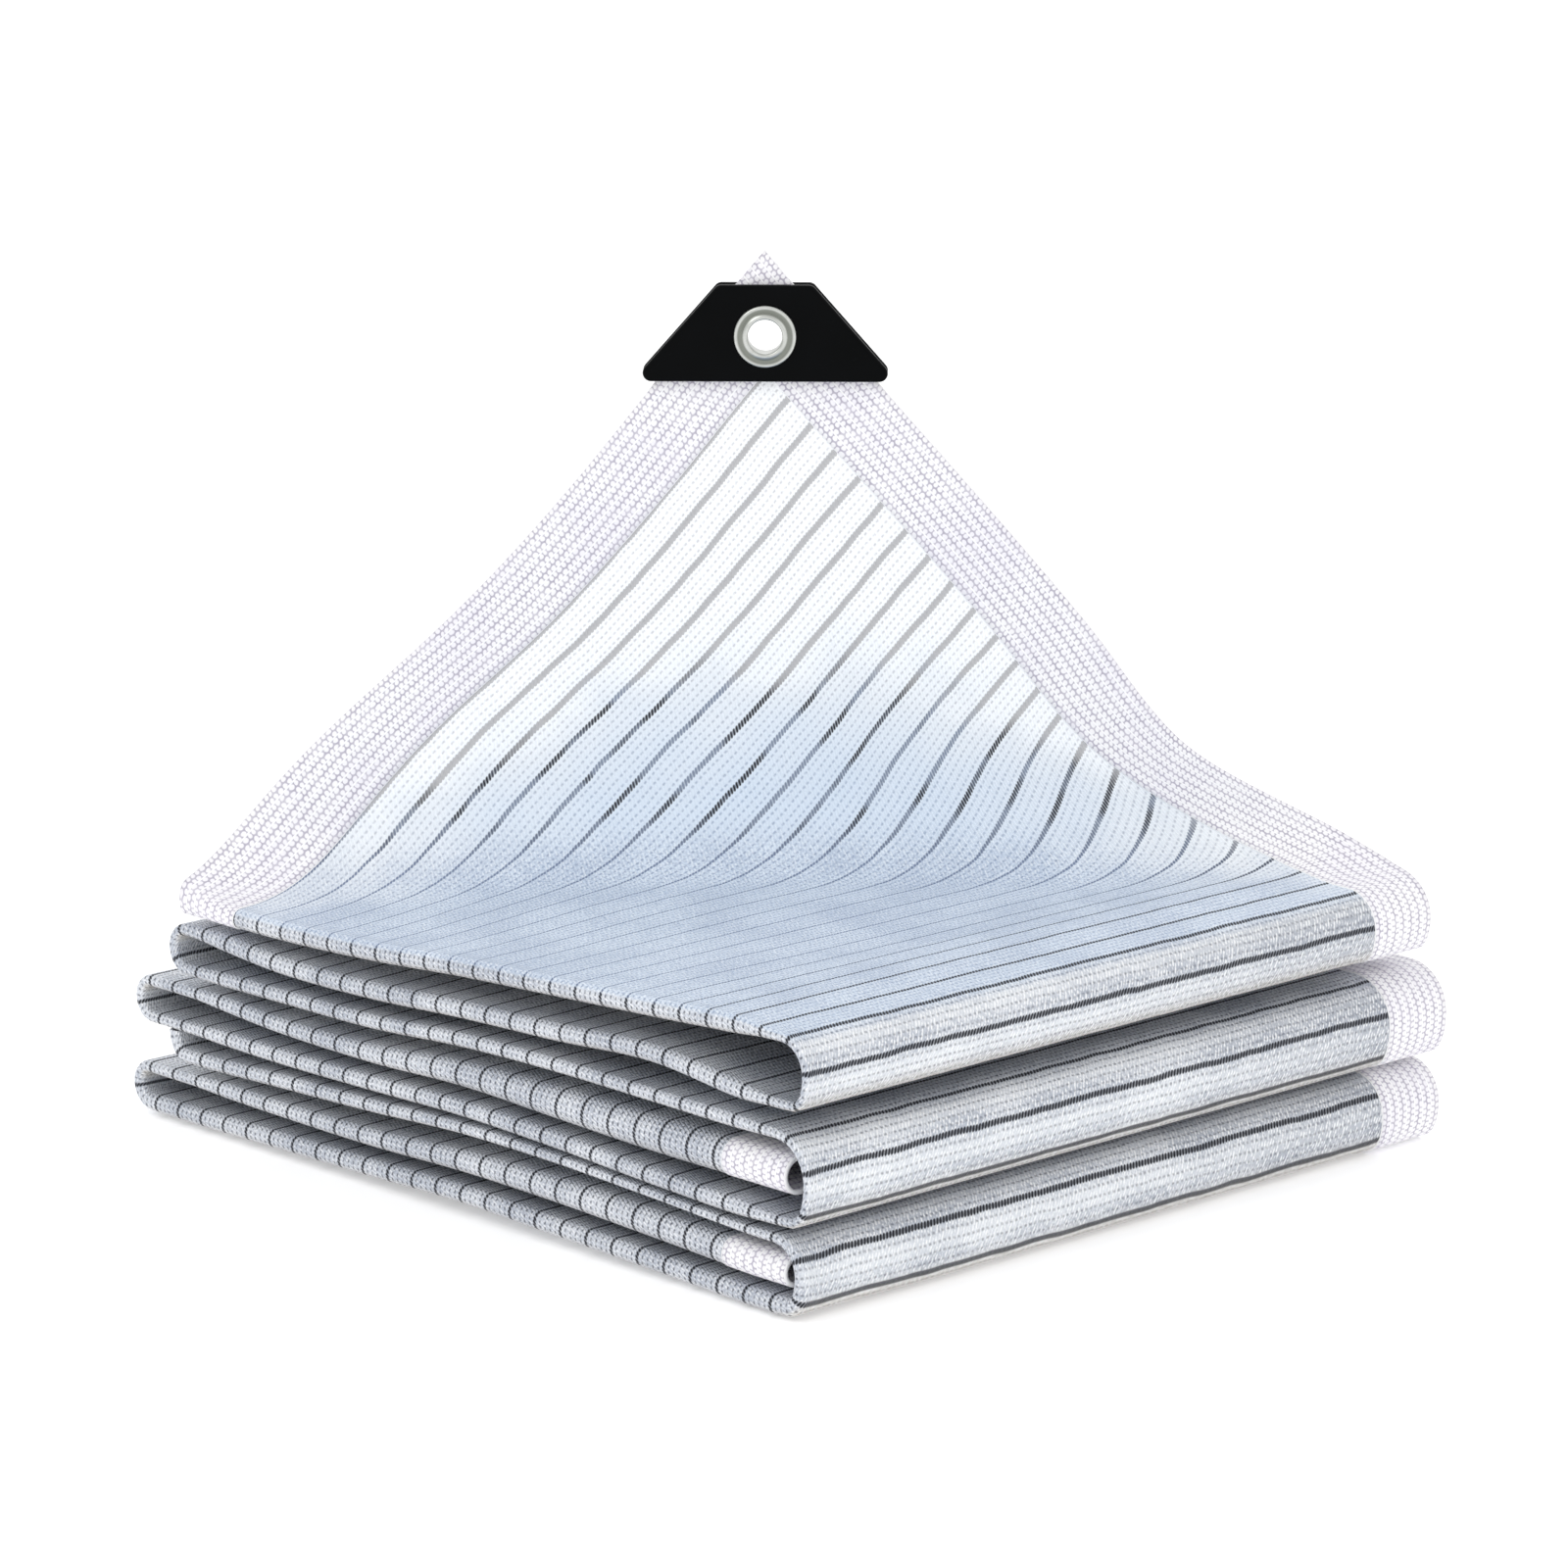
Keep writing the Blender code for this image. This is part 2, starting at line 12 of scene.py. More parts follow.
import math

import bpy
import numpy as np
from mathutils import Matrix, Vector


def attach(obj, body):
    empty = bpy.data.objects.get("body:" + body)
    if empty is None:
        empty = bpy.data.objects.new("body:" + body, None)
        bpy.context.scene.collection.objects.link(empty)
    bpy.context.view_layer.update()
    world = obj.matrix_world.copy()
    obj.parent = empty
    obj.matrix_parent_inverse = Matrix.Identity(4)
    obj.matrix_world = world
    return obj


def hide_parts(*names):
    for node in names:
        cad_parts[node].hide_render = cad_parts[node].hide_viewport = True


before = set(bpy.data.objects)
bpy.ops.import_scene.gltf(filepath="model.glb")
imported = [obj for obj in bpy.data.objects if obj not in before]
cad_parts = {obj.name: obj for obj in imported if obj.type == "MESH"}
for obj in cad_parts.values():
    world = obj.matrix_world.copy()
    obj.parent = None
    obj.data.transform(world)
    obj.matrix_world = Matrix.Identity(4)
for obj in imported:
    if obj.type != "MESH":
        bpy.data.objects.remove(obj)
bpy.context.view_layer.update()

# %% [markdown]
# ## Sizes
#
# All lengths are in metres. Stack coordinates have x from the lengthwise crease to the selvedge, y from
# the near folds to the far ones and z up. The heights of each doubled layer along the crease came from the
# photo, layer by layer, because their unevenness is what makes a stack of cloth look soft. The other table
# has each layer's height at the selvedge, half its thickness near and far, and how its two ends finish.

# %% Sizes of the cloth and the stack
CLOTH_THICK = 0.0011
BAND_THICK = 0.0015
BAND_WIDTH = 0.028
STACK_WIDTH = 0.292
TOP_LENGTH = 0.290
TUCK_END = -0.001
TURN_TAPER = 0.022
CREASE_REACH = 0.120
EVEN_REACH = 0.060
BED_START = 0.020
BED_REACH = 0.040
STATIONS = (0.015, 0.060, 0.105, 0.150, 0.195, 0.240, 0.285)
CREASE_HEIGHTS = {
    "top": (0.0892, 0.0868, 0.0845, 0.0822, 0.0790, 0.0772, 0.0772),
    "second": (0.0682, 0.0722, 0.0700, 0.0684, 0.0660, 0.0656, 0.0686),
    "third": (0.0585, 0.0590, 0.0594, 0.0585, 0.0558, 0.0553, 0.0550),
    "fourth": (0.0455, 0.0455, 0.0462, 0.0468, 0.0448, 0.0450, 0.0475),
    "fifth": (0.0312, 0.0326, 0.0347, 0.0358, 0.0350, 0.0345, 0.0350),
    "sixth": (0.0254, 0.0273, 0.0290, 0.0294, 0.0275, 0.0262, 0.0248),
    "seventh": (0.0152, 0.0168, 0.0180, 0.0180, 0.0165, 0.0165, 0.0172),
    "eighth": (0.0040, 0.0052, 0.0062, 0.0072, 0.0062, 0.0055, 0.0048),
}
COLUMNS = ("selvedge", "half_near", "half_far", "near_end", "far_end")
ROWS = {
    "top": (0.0850, 0.0034, 0.0036, "turn", "free"),
    "second": (0.0705, 0.0033, 0.0034, "turn", "turn"),
    "third": (0.0580, 0.0026, 0.0028, "turn", "turn"),
    "fourth": (0.0460, 0.0062, 0.0030, "free", "turn"),
    "fifth": (0.0338, 0.0031, 0.0030, "turn", "turn"),
    "sixth": (0.0255, 0.0016, 0.0028, "turn", "free"),
    "seventh": (0.0152, 0.0050, 0.0030, "free", "turn"),
    "eighth": (0.0034, 0.0034, 0.0034, "free", "free"),
}
LAYERS = {name: dict(zip(COLUMNS, row), crease=CREASE_HEIGHTS[name]) for name, row in ROWS.items()}
TURN_HALF_NEAR = 0.0019
TURN_HALF_FAR = 0.0023
FIRST_TURN_Y = 0.0015
SECOND_TURN_Y = 0.0040
THIRD_TURN_Y = 0.0045
UPPER_LOOP_Y = 0.2885
MIDDLE_LOOP_Y = 0.3075
LOWER_LOOP_Y = 0.3095
LINK_Y = 0.2960
LINK_RADIUS = 0.0060
UPPER_NARROW = 0.028
NARROW_FROM = 0.060
NARROW_RISE = 0.010
print("layers", len(LAYERS), "stack", STACK_WIDTH, "by", TOP_LENGTH)

# %% [markdown]
# ## Heights of the layers
#
# A cubic runs through the crease heights. Towards the selvedge each layer settles to an even height.

# %% Layer functions
THICKENS_FROM = 0.05
THICKENS_OVER = 0.20


def smooth(t):
    """An even rise from 0 to 1: 3 t^2 - 2 t^3."""
    t = np.clip(t, 0.0, 1.0)
    return t * t * (3.0 - 2.0 * t)


def curve_through(stations, values, at):
    """A cubic between each two values at even stations, level beyond them."""
    values = np.asarray(values)
    ends = np.concatenate((values[:1], values, values[-1:]))
    place = np.clip((at - stations[0]) / (stations[1] - stations[0]), 0.0, len(values) - 1.0)
    cell = np.minimum(place.astype(int), len(values) - 2)
    t = place - cell
    a, b, c, d = (ends[cell + i] for i in range(4))
    return 0.5 * (2 * b + (c - a) * t + (2 * a - 5 * b + 4 * c - d) * t**2 + (3 * b - a - 3 * c + d) * t**3)


def layer_half(name, y):
    """Half the thickness of a doubled layer along y, pinched towards its turns."""
    row = LAYERS[name]
    growth = smooth((y - THICKENS_FROM) / THICKENS_OVER)
    half = row["half_near"] + (row["half_far"] - row["half_near"]) * growth
    if row["near_end"] == "turn":
        half = half + (TURN_HALF_NEAR - half) * (1 - smooth((y - SECOND_TURN_Y) / TURN_TAPER))
    if row["far_end"] == "turn":
        half = half + (TURN_HALF_FAR - half) * smooth((y - UPPER_LOOP_Y) / TURN_TAPER + 1)
    return half


def layer_middle(name, x, y):
    """Height of a layer's middle: wavy along the crease, even towards the selvedge."""
    row = LAYERS[name]
    start = row["crease"][0]
    even = start + (row["selvedge"] - start) * smooth((y - STATIONS[0]) / EVEN_REACH)
    height = curve_through(STATIONS, row["crease"], y)
    height = height + (even - height) * smooth(x / CREASE_REACH)
    if name == "eighth":
        height = height + (layer_half(name, y) - height) * smooth((x - BED_START) / BED_REACH)
    return height


probe = np.array([0.0, 0.1, 0.29])
print("top layer's middle across the stack at y 0.1:", layer_middle("top", probe, np.full(3, 0.1)).round(4))

# %% [markdown]
# ## The path
#
# Each stretch of the path gives rows of (y, z, half thickness, share that is raised). A layer is a run of
# rows, a fold is a half circle between two layers, and the near folds are fuller below, as they sag.

# %% Stretches of the path
NEAR_FULLNESS = 0.45
SAG_FROM = math.radians(75)
SAG_OVER = math.radians(30)
RAISED_FADE = math.radians(130)


def along_layer(name, x, start, end, steps, raised=0.0):
    """Rows along one layer, from y = start to y = end."""
    y = np.repeat(np.linspace(start, end, steps + 1)[:, None], len(x), axis=1)
    wide = np.broadcast_to(x, y.shape)
    return np.stack([y, layer_middle(name, wide, y), layer_half(name, y), np.full_like(y, raised)], axis=-1)


def around_turn(first, second, x, at, outward, steps, raised=0.0):
    """y = at + R sin(a)^f outward, z = middle + R cos(a), for a from 0 to pi without its two ends."""
    angle = np.linspace(0, math.pi, steps + 1)[1:-1, None]
    y = np.full_like(x, at)
    upper, lower = layer_middle(first, x, y), layer_middle(second, x, y)
    half = layer_half(first, y) + (layer_half(second, y) - layer_half(first, y)) * angle / math.pi
    radius = (upper - lower) / 2
    share = raised * (1 - smooth(angle / RAISED_FADE))
    fullness = 1 + (NEAR_FULLNESS - 1) * (outward < 0) * smooth((angle - SAG_FROM) / SAG_OVER)
    return np.stack(
        [
            at + np.abs(radius) * np.sin(angle) ** fullness * outward,
            (upper + lower) / 2 + radius * np.cos(angle),
            half,
            np.broadcast_to(share, half.shape),
        ],
        axis=-1,
    )


def down_link(x, steps):
    """A quarter round from the fifth layer's underside down to the start of the sixth."""
    angle = np.linspace(0, math.pi / 2, steps + 1)[:-1, None]
    y = np.full_like(x, LINK_Y)
    wall = layer_middle("fifth", x, y) - layer_half("fifth", y)
    floor = layer_middle("sixth", x, y - LINK_RADIUS)
    run = y - LINK_RADIUS * (1 - np.cos(angle))
    drop = floor + (wall - floor) * (1 - np.sin(angle))
    half = np.broadcast_to(layer_half("sixth", y), run.shape)
    return np.stack([run, drop, half, np.zeros_like(run)], axis=-1)


# %% [markdown]
# ## Stripes that meet the folds
#
# The stripe phase is the path length over 12 mm. In the photo each near fold carries two stripes, one along
# its upper edge and one along its lower edge. So the phase is stretched a little inside the hidden layers
# until whole numbers fall on those edges. The table has the two edges' angles round each fold, in degrees.

# %% The two paths and their stripe phase
STRIPE = 0.012
LAYER_STEP = 0.0060
TOP_STEP = 0.0040
TURN_STEPS = 14
FOLD_STRIPES = {"first": (84, 158), "second": (73, 136), "third": (60, 133)}
BEYOND = 100


def run(name, x, start, end, step=LAYER_STEP, raised=0.0):
    """Rows along one layer, about one step apart."""
    return along_layer(name, x, start, end, max(2, round(abs(end - start) / step)), raised)


def upper_path(x, start, end):
    """Stretches from the raised corner to the end tucked in the second fold."""
    return [
        run("top", x, start, FIRST_TURN_Y, TOP_STEP, raised=1.0),
        around_turn("top", "second", x, FIRST_TURN_Y, -1, TURN_STEPS, raised=1.0),
        run("second", x, FIRST_TURN_Y, UPPER_LOOP_Y),
        around_turn("second", "third", x, UPPER_LOOP_Y, 1, TURN_STEPS),
        run("third", x, UPPER_LOOP_Y, SECOND_TURN_Y),
        around_turn("third", "fifth", x, SECOND_TURN_Y, -1, TURN_STEPS),
        run("fifth", x, SECOND_TURN_Y, MIDDLE_LOOP_Y),
        around_turn("fifth", "fourth", x, MIDDLE_LOOP_Y, 1, TURN_STEPS),
        run("fourth", x, MIDDLE_LOOP_Y, end),
    ]


def lower_path(x, end):
    """Stretches from the upper stack's underside to the end tucked in the third fold."""
    return [
        down_link(x, TURN_STEPS // 2),
        run("sixth", x, LINK_Y - LINK_RADIUS, THIRD_TURN_Y),
        around_turn("sixth", "eighth", x, THIRD_TURN_Y, -1, TURN_STEPS),
        run("eighth", x, THIRD_TURN_Y, LOWER_LOOP_Y),
        around_turn("eighth", "seventh", x, LOWER_LOOP_Y, 1, TURN_STEPS),
        run("seventh", x, LOWER_LOOP_Y, end),
    ]


def distances(points):
    """Distance of each point of a line from its first point, along the line."""
    return np.concatenate([[0], np.cumsum(np.linalg.norm(np.diff(points, axis=0), axis=1))])


def stripe_phase(stretches, folds):
    """Phase of each row: path length over 12 mm, shifted so that each near fold's edges get whole numbers."""
    lengths = np.cumsum([0] + [len(s) for s in stretches])
    rows = np.concatenate(stretches)[:, 0, :2]
    arc = distances(rows) / STRIPE
    places, values = [], []
    for index, fold in folds.items():
        for i, angle in enumerate(FOLD_STRIPES[fold]):
            place = np.interp(lengths[index] - 1 + TURN_STEPS * angle / 180, np.arange(len(arc)), arc)
            values.append(round(place) if i == 0 else values[-1] + 1)
            places.append(place)
    places = [places[0] - BEYOND] + places + [places[-1] + BEYOND]
    values = [values[0] - BEYOND] + values + [values[-1] + BEYOND]
    return np.interp(arc, places, values)


reference = np.array([0.15])
print("rows of the upper path", sum(map(len, upper_path(reference, TOP_LENGTH, TUCK_END))))

# %% [markdown]
# ## The raised corner
#
# The corner is pulled up by its tip. Past the diagonal the ply turns from lying to standing, and as net is
# stretched on the bias it grows a little in length and draws in across. The widths that it keeps came from
# the photo's outline, and each side has its own, because the pull leans to the left.

# %% Raising the corner
BEND_BEFORE = 0.020
BEND_AFTER = 0.028
BEND_ANGLE = math.radians(80)
RAISED_ANGLE = math.radians(90)
RAISED_BY = 0.120
LEAN_LEFT = 0.0081
STRETCH_UP = 1.032
MIDDLE_WIDTH = 0.080
CORNER_SHARES = (0.0, 0.2, 0.4, 0.6, 0.8, 1.0)
DRAW_LEFT = (1.0, 0.978, 0.891, 0.848, 0.845, 0.854)
DRAW_RIGHT = (1.0, 0.855, 0.875, 0.888, 0.885, 0.858)
LEAN_SHARE = (0.0, 0.461, 0.714, 0.912, 1.041, 1.0)
PROFILE_POINTS = 2000


def raise_corner(points, share):
    """The points, turned up past the diagonal, and how far each one is on the way to the tip, from 0 to 1."""
    diagonal = math.hypot(STACK_WIDTH, TOP_LENGTH)
    along = np.array([STACK_WIDTH, -TOP_LENGTH]) / diagonal
    across = np.array([TOP_LENGTH, STACK_WIDTH]) / diagonal
    reach = STACK_WIDTH * TOP_LENGTH / diagonal
    flat = points[..., :2] - np.array([0.0, TOP_LENGTH])
    m = flat @ along - STACK_WIDTH**2 / diagonal
    n = flat @ across
    profile = np.linspace(-BEND_BEFORE, reach, PROFILE_POINTS)
    slope = BEND_ANGLE * smooth((profile + BEND_BEFORE) / (BEND_BEFORE + BEND_AFTER))
    slope = slope + (RAISED_ANGLE - BEND_ANGLE) * smooth((profile - BEND_AFTER) / (RAISED_BY - BEND_AFTER))
    step = profile[1] - profile[0]
    out = -BEND_BEFORE + np.concatenate(([0], np.cumsum(np.cos(slope[:-1]) * step)))
    up = np.concatenate(([0], np.cumsum(np.sin(slope[:-1]) * step)))
    height = n / reach
    left = curve_through(CORNER_SHARES, DRAW_LEFT, height)
    right = curve_through(CORNER_SHARES, DRAW_RIGHT, height)
    draw = left + (right - left) * smooth(m / MIDDLE_WIDTH + 0.5)
    bent_m = m * draw - LEAN_LEFT * curve_through(CORNER_SHARES, LEAN_SHARE, height)
    bent_n = np.where(n < profile[0], n, np.interp(n, profile, out))
    lift = np.interp(n, profile, up) * STRETCH_UP
    moved = (bent_m - m)[..., None] * along + (bent_n - n)[..., None] * across
    result = points.copy()
    result[..., :2] += share[..., None] * moved
    result[..., 2] += share * lift
    return result, np.clip(height, -0.5, 1.0)


# %% [markdown]
# ## Outer surface
#
# The section goes in along the face ply, round the lengthwise crease and out along the back ply. A point
# stands off the path by half * sin(angle), and inwards from the crease by half * (1 - cos(angle)). Marks say
# how far a point looks to the near side or down, lies in the top ply, rises to the tip or lies far back.

# %% Surface of the doubled layer
CREASE_ANGLES = tuple(range(75, -76, -15))
NET_UNDER_BAND = 0.0030
NET_STEP = 0.0040
FACE_UNTIL = 0.006
BACK_FROM = 0.012
BACK_STEP = 0.020
BACK_LAST = 0.010


def outer_surface(columns, path, falls=False):
    """Grid of points, distance around the section, marks, and which rows of the path are kept."""
    x, side = columns[:, 0], np.radians(columns[:, 1])
    rows = np.concatenate(path(x))
    keep = np.concatenate([[True], np.linalg.norm(np.diff(rows[:, 0, :2], axis=0), axis=1) > 1e-6])
    rows = rows[keep]
    centre, half, raised = rows[..., :2], rows[..., 2], rows[..., 3]
    tangent = np.gradient(centre, axis=0)
    if falls:
        tangent[0] = (0.0, -1.0)
    tangent /= np.linalg.norm(tangent, axis=-1, keepdims=True)
    normal = np.stack([tangent[..., 1], -tangent[..., 0]], axis=-1)
    yz = centre + normal * (half * np.sin(side))[..., None]
    inward = np.where(x > 0, x, half * (1 - np.cos(side)))
    inward = inward * (1 - UPPER_NARROW * smooth((centre[..., 1] - NARROW_FROM) / NARROW_RISE))
    share = raised * smooth((np.sin(side) + 1) / 2)
    points, height = raise_corner(np.concatenate([inward[..., None], yz], axis=-1), share)
    facing = normal * np.sin(side)[:, None]
    points[..., 2] = np.maximum(points[..., 2], 0.0)
    marks = {
        "near": smooth((-facing[..., 0] - 0.25) / 0.5),
        "down": smooth((-facing[..., 1] - 0.15) / 0.6) * smooth((-facing[..., 0] + 0.2) / 0.4),
        "top": smooth((share - 0.80) / 0.19),
        "rise": height,
        "far": smooth((centre[..., 0] - 0.010) / 0.070),
    }
    girth = np.sin(side) * x - half * (math.pi / 2 - side)
    return points, girth, marks, keep


def net_section():
    """Columns (x, angle): in along the face ply, round the crease, and out along the back in longer steps."""
    edge = STACK_WIDTH - BAND_WIDTH + NET_UNDER_BAND
    columns = [(x, 90) for x in np.arange(edge, FACE_UNTIL, -NET_STEP)]
    columns += [(0.0, angle) for angle in (90,) + CREASE_ANGLES + (-90,)]
    columns += [(x, -90) for x in np.append(np.arange(BACK_FROM, edge - BACK_LAST, BACK_STEP), edge)]
    return np.array(columns)


print("columns around the net's section", len(net_section()))

# %% [markdown]
# ## From grid to mesh
#
# The faces of a grid are four shifted copies of its index table. The map of the cloth holds the distance
# across it in x, in metres, and the stripe phase in y. The marks become attributes of the points, because
# foil looks different where it faces the viewer's side, faces down, lies on top or rises.

# %% Grid mesh


def to_world(points):
    """Turns stack coordinates to the row frame: the stack's diagonal lies along X."""
    turn = math.atan2(TOP_LENGTH, STACK_WIDTH)
    spin = np.array([[math.cos(turn), -math.sin(turn), 0], [math.sin(turn), math.cos(turn), 0], [0, 0, 1]])
    return points @ spin.T


def grid_mesh(name, points, across, phase, marks, closed=False):
    """A mesh of the grid, with its map in metres and stripes, and one float attribute for each mark."""
    rows, columns = points.shape[:2]
    index = np.arange(rows * columns).reshape(rows, columns)
    if closed:
        index = np.vstack([index, index[:1]])
        index = np.hstack([index, index[:, :1]])
    faces = np.stack([index[:-1, :-1], index[:-1, 1:], index[1:, 1:], index[1:, :-1]], axis=-1).reshape(-1, 4)
    mesh = bpy.data.meshes.new(name)
    mesh.vertices.add(rows * columns)
    mesh.vertices.foreach_set("co", points.astype(np.float32).ravel())
    mesh.loops.add(faces.size)
    mesh.loops.foreach_set("vertex_index", faces.astype(np.int32).ravel())
    mesh.polygons.add(len(faces))
    mesh.polygons.foreach_set("loop_start", np.arange(0, faces.size, 4, dtype=np.int32))
    mesh.update(calc_edges=True)
    mesh.validate()
    uv = [np.broadcast_to(value, (rows, columns)) for value in (across, phase)]
    uv = np.stack(uv, axis=-1).reshape(-1, 2)
    layer = mesh.uv_layers.new(name="cloth")
    layer.data.foreach_set("uv", uv[faces.ravel()].astype(np.float32).ravel())
    for label, values in marks.items():
        mark = mesh.attributes.new(label, "FLOAT", "POINT")
        values = np.broadcast_to(values, (rows, columns))
        mark.data.foreach_set("value", values.astype(np.float32).ravel())
    mesh.shade_smooth()
    obj = bpy.data.objects.new(name, mesh)
    bpy.context.scene.collection.objects.link(obj)
    return obj


def add_wall(obj, thickness, below=0.0):
    """The cloth's thickness, grown inwards from a surface that may first move in by a little."""
    if below:
        inset = obj.modifiers.new("inset", "DISPLACE")
        inset.strength = -below
        inset.mid_level = 0.0
    wall = obj.modifiers.new("wall", "SOLIDIFY")
    wall.thickness = thickness
    wall.offset = -1


# %% [markdown]
# ## Net
#
# The real net is one piece. Here its upper and its lower length are a mesh each, as their join is hidden in
# the stack. The net runs 3 mm under the webbing that binds it and lies a little below the webbing's face,
# so no gap shows at the seam. One fixed shift brings the middle of the part's box to the origin.

# %% Build the net
BOX_SHIFT = np.array([0.003964, -0.212098, 0.0])
NET_BELOW_BAND = 0.0003
tuck = TUCK_END + BAND_WIDTH - NET_UNDER_BAND
top_start = TOP_LENGTH - BAND_WIDTH + NET_UNDER_BAND
net_parts = []
for label, path, folds, falls in (
    ("upper", lambda x: upper_path(x, top_start, tuck), {1: "first", 5: "second"}, False),
    ("lower", lambda x: lower_path(x, tuck), {2: "third"}, True),
):
    points, girth, marks, keep = outer_surface(net_section(), path, falls)
    phase = stripe_phase(path(reference), folds)[keep]
    part = grid_mesh("net_" + label, to_world(points) + BOX_SHIFT, girth, phase[:, None], marks)
    add_wall(part, CLOTH_THICK, NET_BELOW_BAND)
    net_parts.append(part)
    print(part.name, len(part.data.polygons), "faces")

# %% [markdown]
# ## Webbing
#
# The bands follow the same path on their own columns, so they lie on the net wherever it goes. Their map has
# the distance from the inner edge in x and the length in metres in y, for the weave.

# %% Build the webbing
BAND_COLUMNS = 13
END_STEPS = 12
END_LAPS = 0.0002
band_across = np.linspace(0, BAND_WIDTH, BAND_COLUMNS)
band_x = STACK_WIDTH - BAND_WIDTH + band_across
face_columns = np.column_stack([band_x, np.full(BAND_COLUMNS, 90.0)])[::-1]
under_columns = np.column_stack([band_x, np.full(BAND_COLUMNS, -90.0)])
bands = {}


def add_band(name, points, across, length, replaced):
    piece = grid_mesh(name, to_world(points) + BOX_SHIFT, across, length, {})
    add_wall(piece, BAND_THICK)
    bands[name] = (piece, replaced)


def band_along(name, columns, across, path, falls, replaced):
    """Webbing along a selvedge: its length runs along the rows."""
    points = outer_surface(columns, path, falls)[0]
    length = distances(points[:, points.shape[1] // 2])
    add_band(name, points, across[None, :], length[:, None], replaced)


def band_across_end(name, layer, start, end, raised, replaced):
    """Webbing across an end of the doubled layer: its length runs along the columns."""
    columns = net_section()
    columns[0, 0] = columns[-1, 0] = STACK_WIDTH - BAND_WIDTH - END_LAPS

    def path(x):
        return [along_layer(layer, x, start, end, END_STEPS, raised)]

    points = outer_surface(columns, path)[0]
    inner_edge = min(start, end) if raised else max(start, end)
    inner = np.abs(np.linspace(start, end, END_STEPS + 1) - inner_edge)
    length = distances(points[points.shape[0] // 2])
    add_band(name, points, inner[:, None], length[None, :], replaced)


def corner_path(x):
    return upper_path(x, TOP_LENGTH, TUCK_END)


def lower_band_path(x):
    return lower_path(x, TUCK_END)


for name, columns, across, path, falls in (
    ("upper_face", face_columns, band_across[::-1], corner_path, False),
    ("upper_under", under_columns, band_across, corner_path, False),
    ("lower_face", face_columns, band_across[::-1], lower_band_path, True),
    ("lower_under", under_columns, band_across, lower_band_path, True),
):
    band_along("webbing_" + name, columns, across, path, falls, "side_band_" + name)
for name, layer, start, end, raised in (
    ("end_top", "top", TOP_LENGTH, TOP_LENGTH - BAND_WIDTH, 1.0),
    ("tuck_upper", "fourth", TUCK_END + BAND_WIDTH, TUCK_END, 0.0),
    ("tuck_lower", "seventh", TUCK_END + BAND_WIDTH, TUCK_END, 0.0),
):
    band_across_end("webbing_" + name, layer, start, end, raised, "end_band_" + name.replace("end_", ""))
print("bands", {name: len(piece.data.polygons) for name, (piece, replaced) in bands.items()})

# %% [markdown]
# ## Clip
#
# The clip is two moulded plates. Each plate is one closed grid: one parameter goes round the outline, the
# other goes from the eyelet's hole out over the face, round the soft edge and back in over the other face.

# %% Outline of the clip
CLIP_WIDTH = 0.0872
CLIP_TOP_WIDTH = 0.0311
CLIP_HEIGHT = 0.032
CLIP_THICK = 0.0032
CLIP_CORNER = 0.0028
CLIP_EDGE = 0.0011
CLIP_BELOW_TIP = 0.0112
EYELET_BELOW_TIP = 0.0280
CORNER_POINTS = 10
SIDE_POINTS = 24


def clip_outline():
    """Points around the trapezoid with rounded corners, and the outward normals there."""
    foot, top = CLIP_WIDTH / 2, CLIP_TOP_WIDTH / 2
    corners = np.array([(-foot, -CLIP_HEIGHT), (foot, -CLIP_HEIGHT), (top, 0.0), (-top, 0.0)])
    back = np.roll(corners, 1, axis=0) - corners
    ahead = np.roll(corners, -1, axis=0) - corners
    back /= np.linalg.norm(back, axis=1, keepdims=True)
    ahead /= np.linalg.norm(ahead, axis=1, keepdims=True)
    half = np.arccos(np.sum(back * ahead, axis=1)) / 2
    bisector = (back + ahead) / np.linalg.norm(back + ahead, axis=1, keepdims=True)
    centres = corners + bisector * (CLIP_CORNER / np.sin(half))[:, None]
    first = corners + back * (CLIP_CORNER / np.tan(half))[:, None] - centres
    last = corners + ahead * (CLIP_CORNER / np.tan(half))[:, None] - centres
    start = np.arctan2(first[:, 1], first[:, 0])
    sweep = (np.arctan2(last[:, 1], last[:, 0]) - start) % (2 * math.pi)
    angle = start[:, None] + sweep[:, None] * np.linspace(0, 1, CORNER_POINTS)
    normals = np.stack([np.cos(angle), np.sin(angle)], axis=-1)
    arcs = centres[:, None] + CLIP_CORNER * normals
    share = np.linspace(0, 1, SIDE_POINTS + 2)[1:-1, None]
    sides = arcs[:, -1][:, None] + (np.roll(arcs[:, 0], -1, axis=0) - arcs[:, -1])[:, None] * share
    side_normals = np.broadcast_to(normals[:, -1][:, None], sides.shape)
    points = np.concatenate([arcs, sides], axis=1).reshape(-1, 2)
    return points, np.concatenate([normals, side_normals], axis=1).reshape(-1, 2)


outline, outline_normals = clip_outline()
print("clip outline", len(outline), "points, width", round(float(np.ptp(outline[:, 0])), 4))

# %% [markdown]
# ## Plates on the corner
#
# The clip holds the corner of the webbing between its plates, so it takes its place from the corner's tip.
# The real webbing is punched for the eyelet, and here a cylinder cuts the same hole.

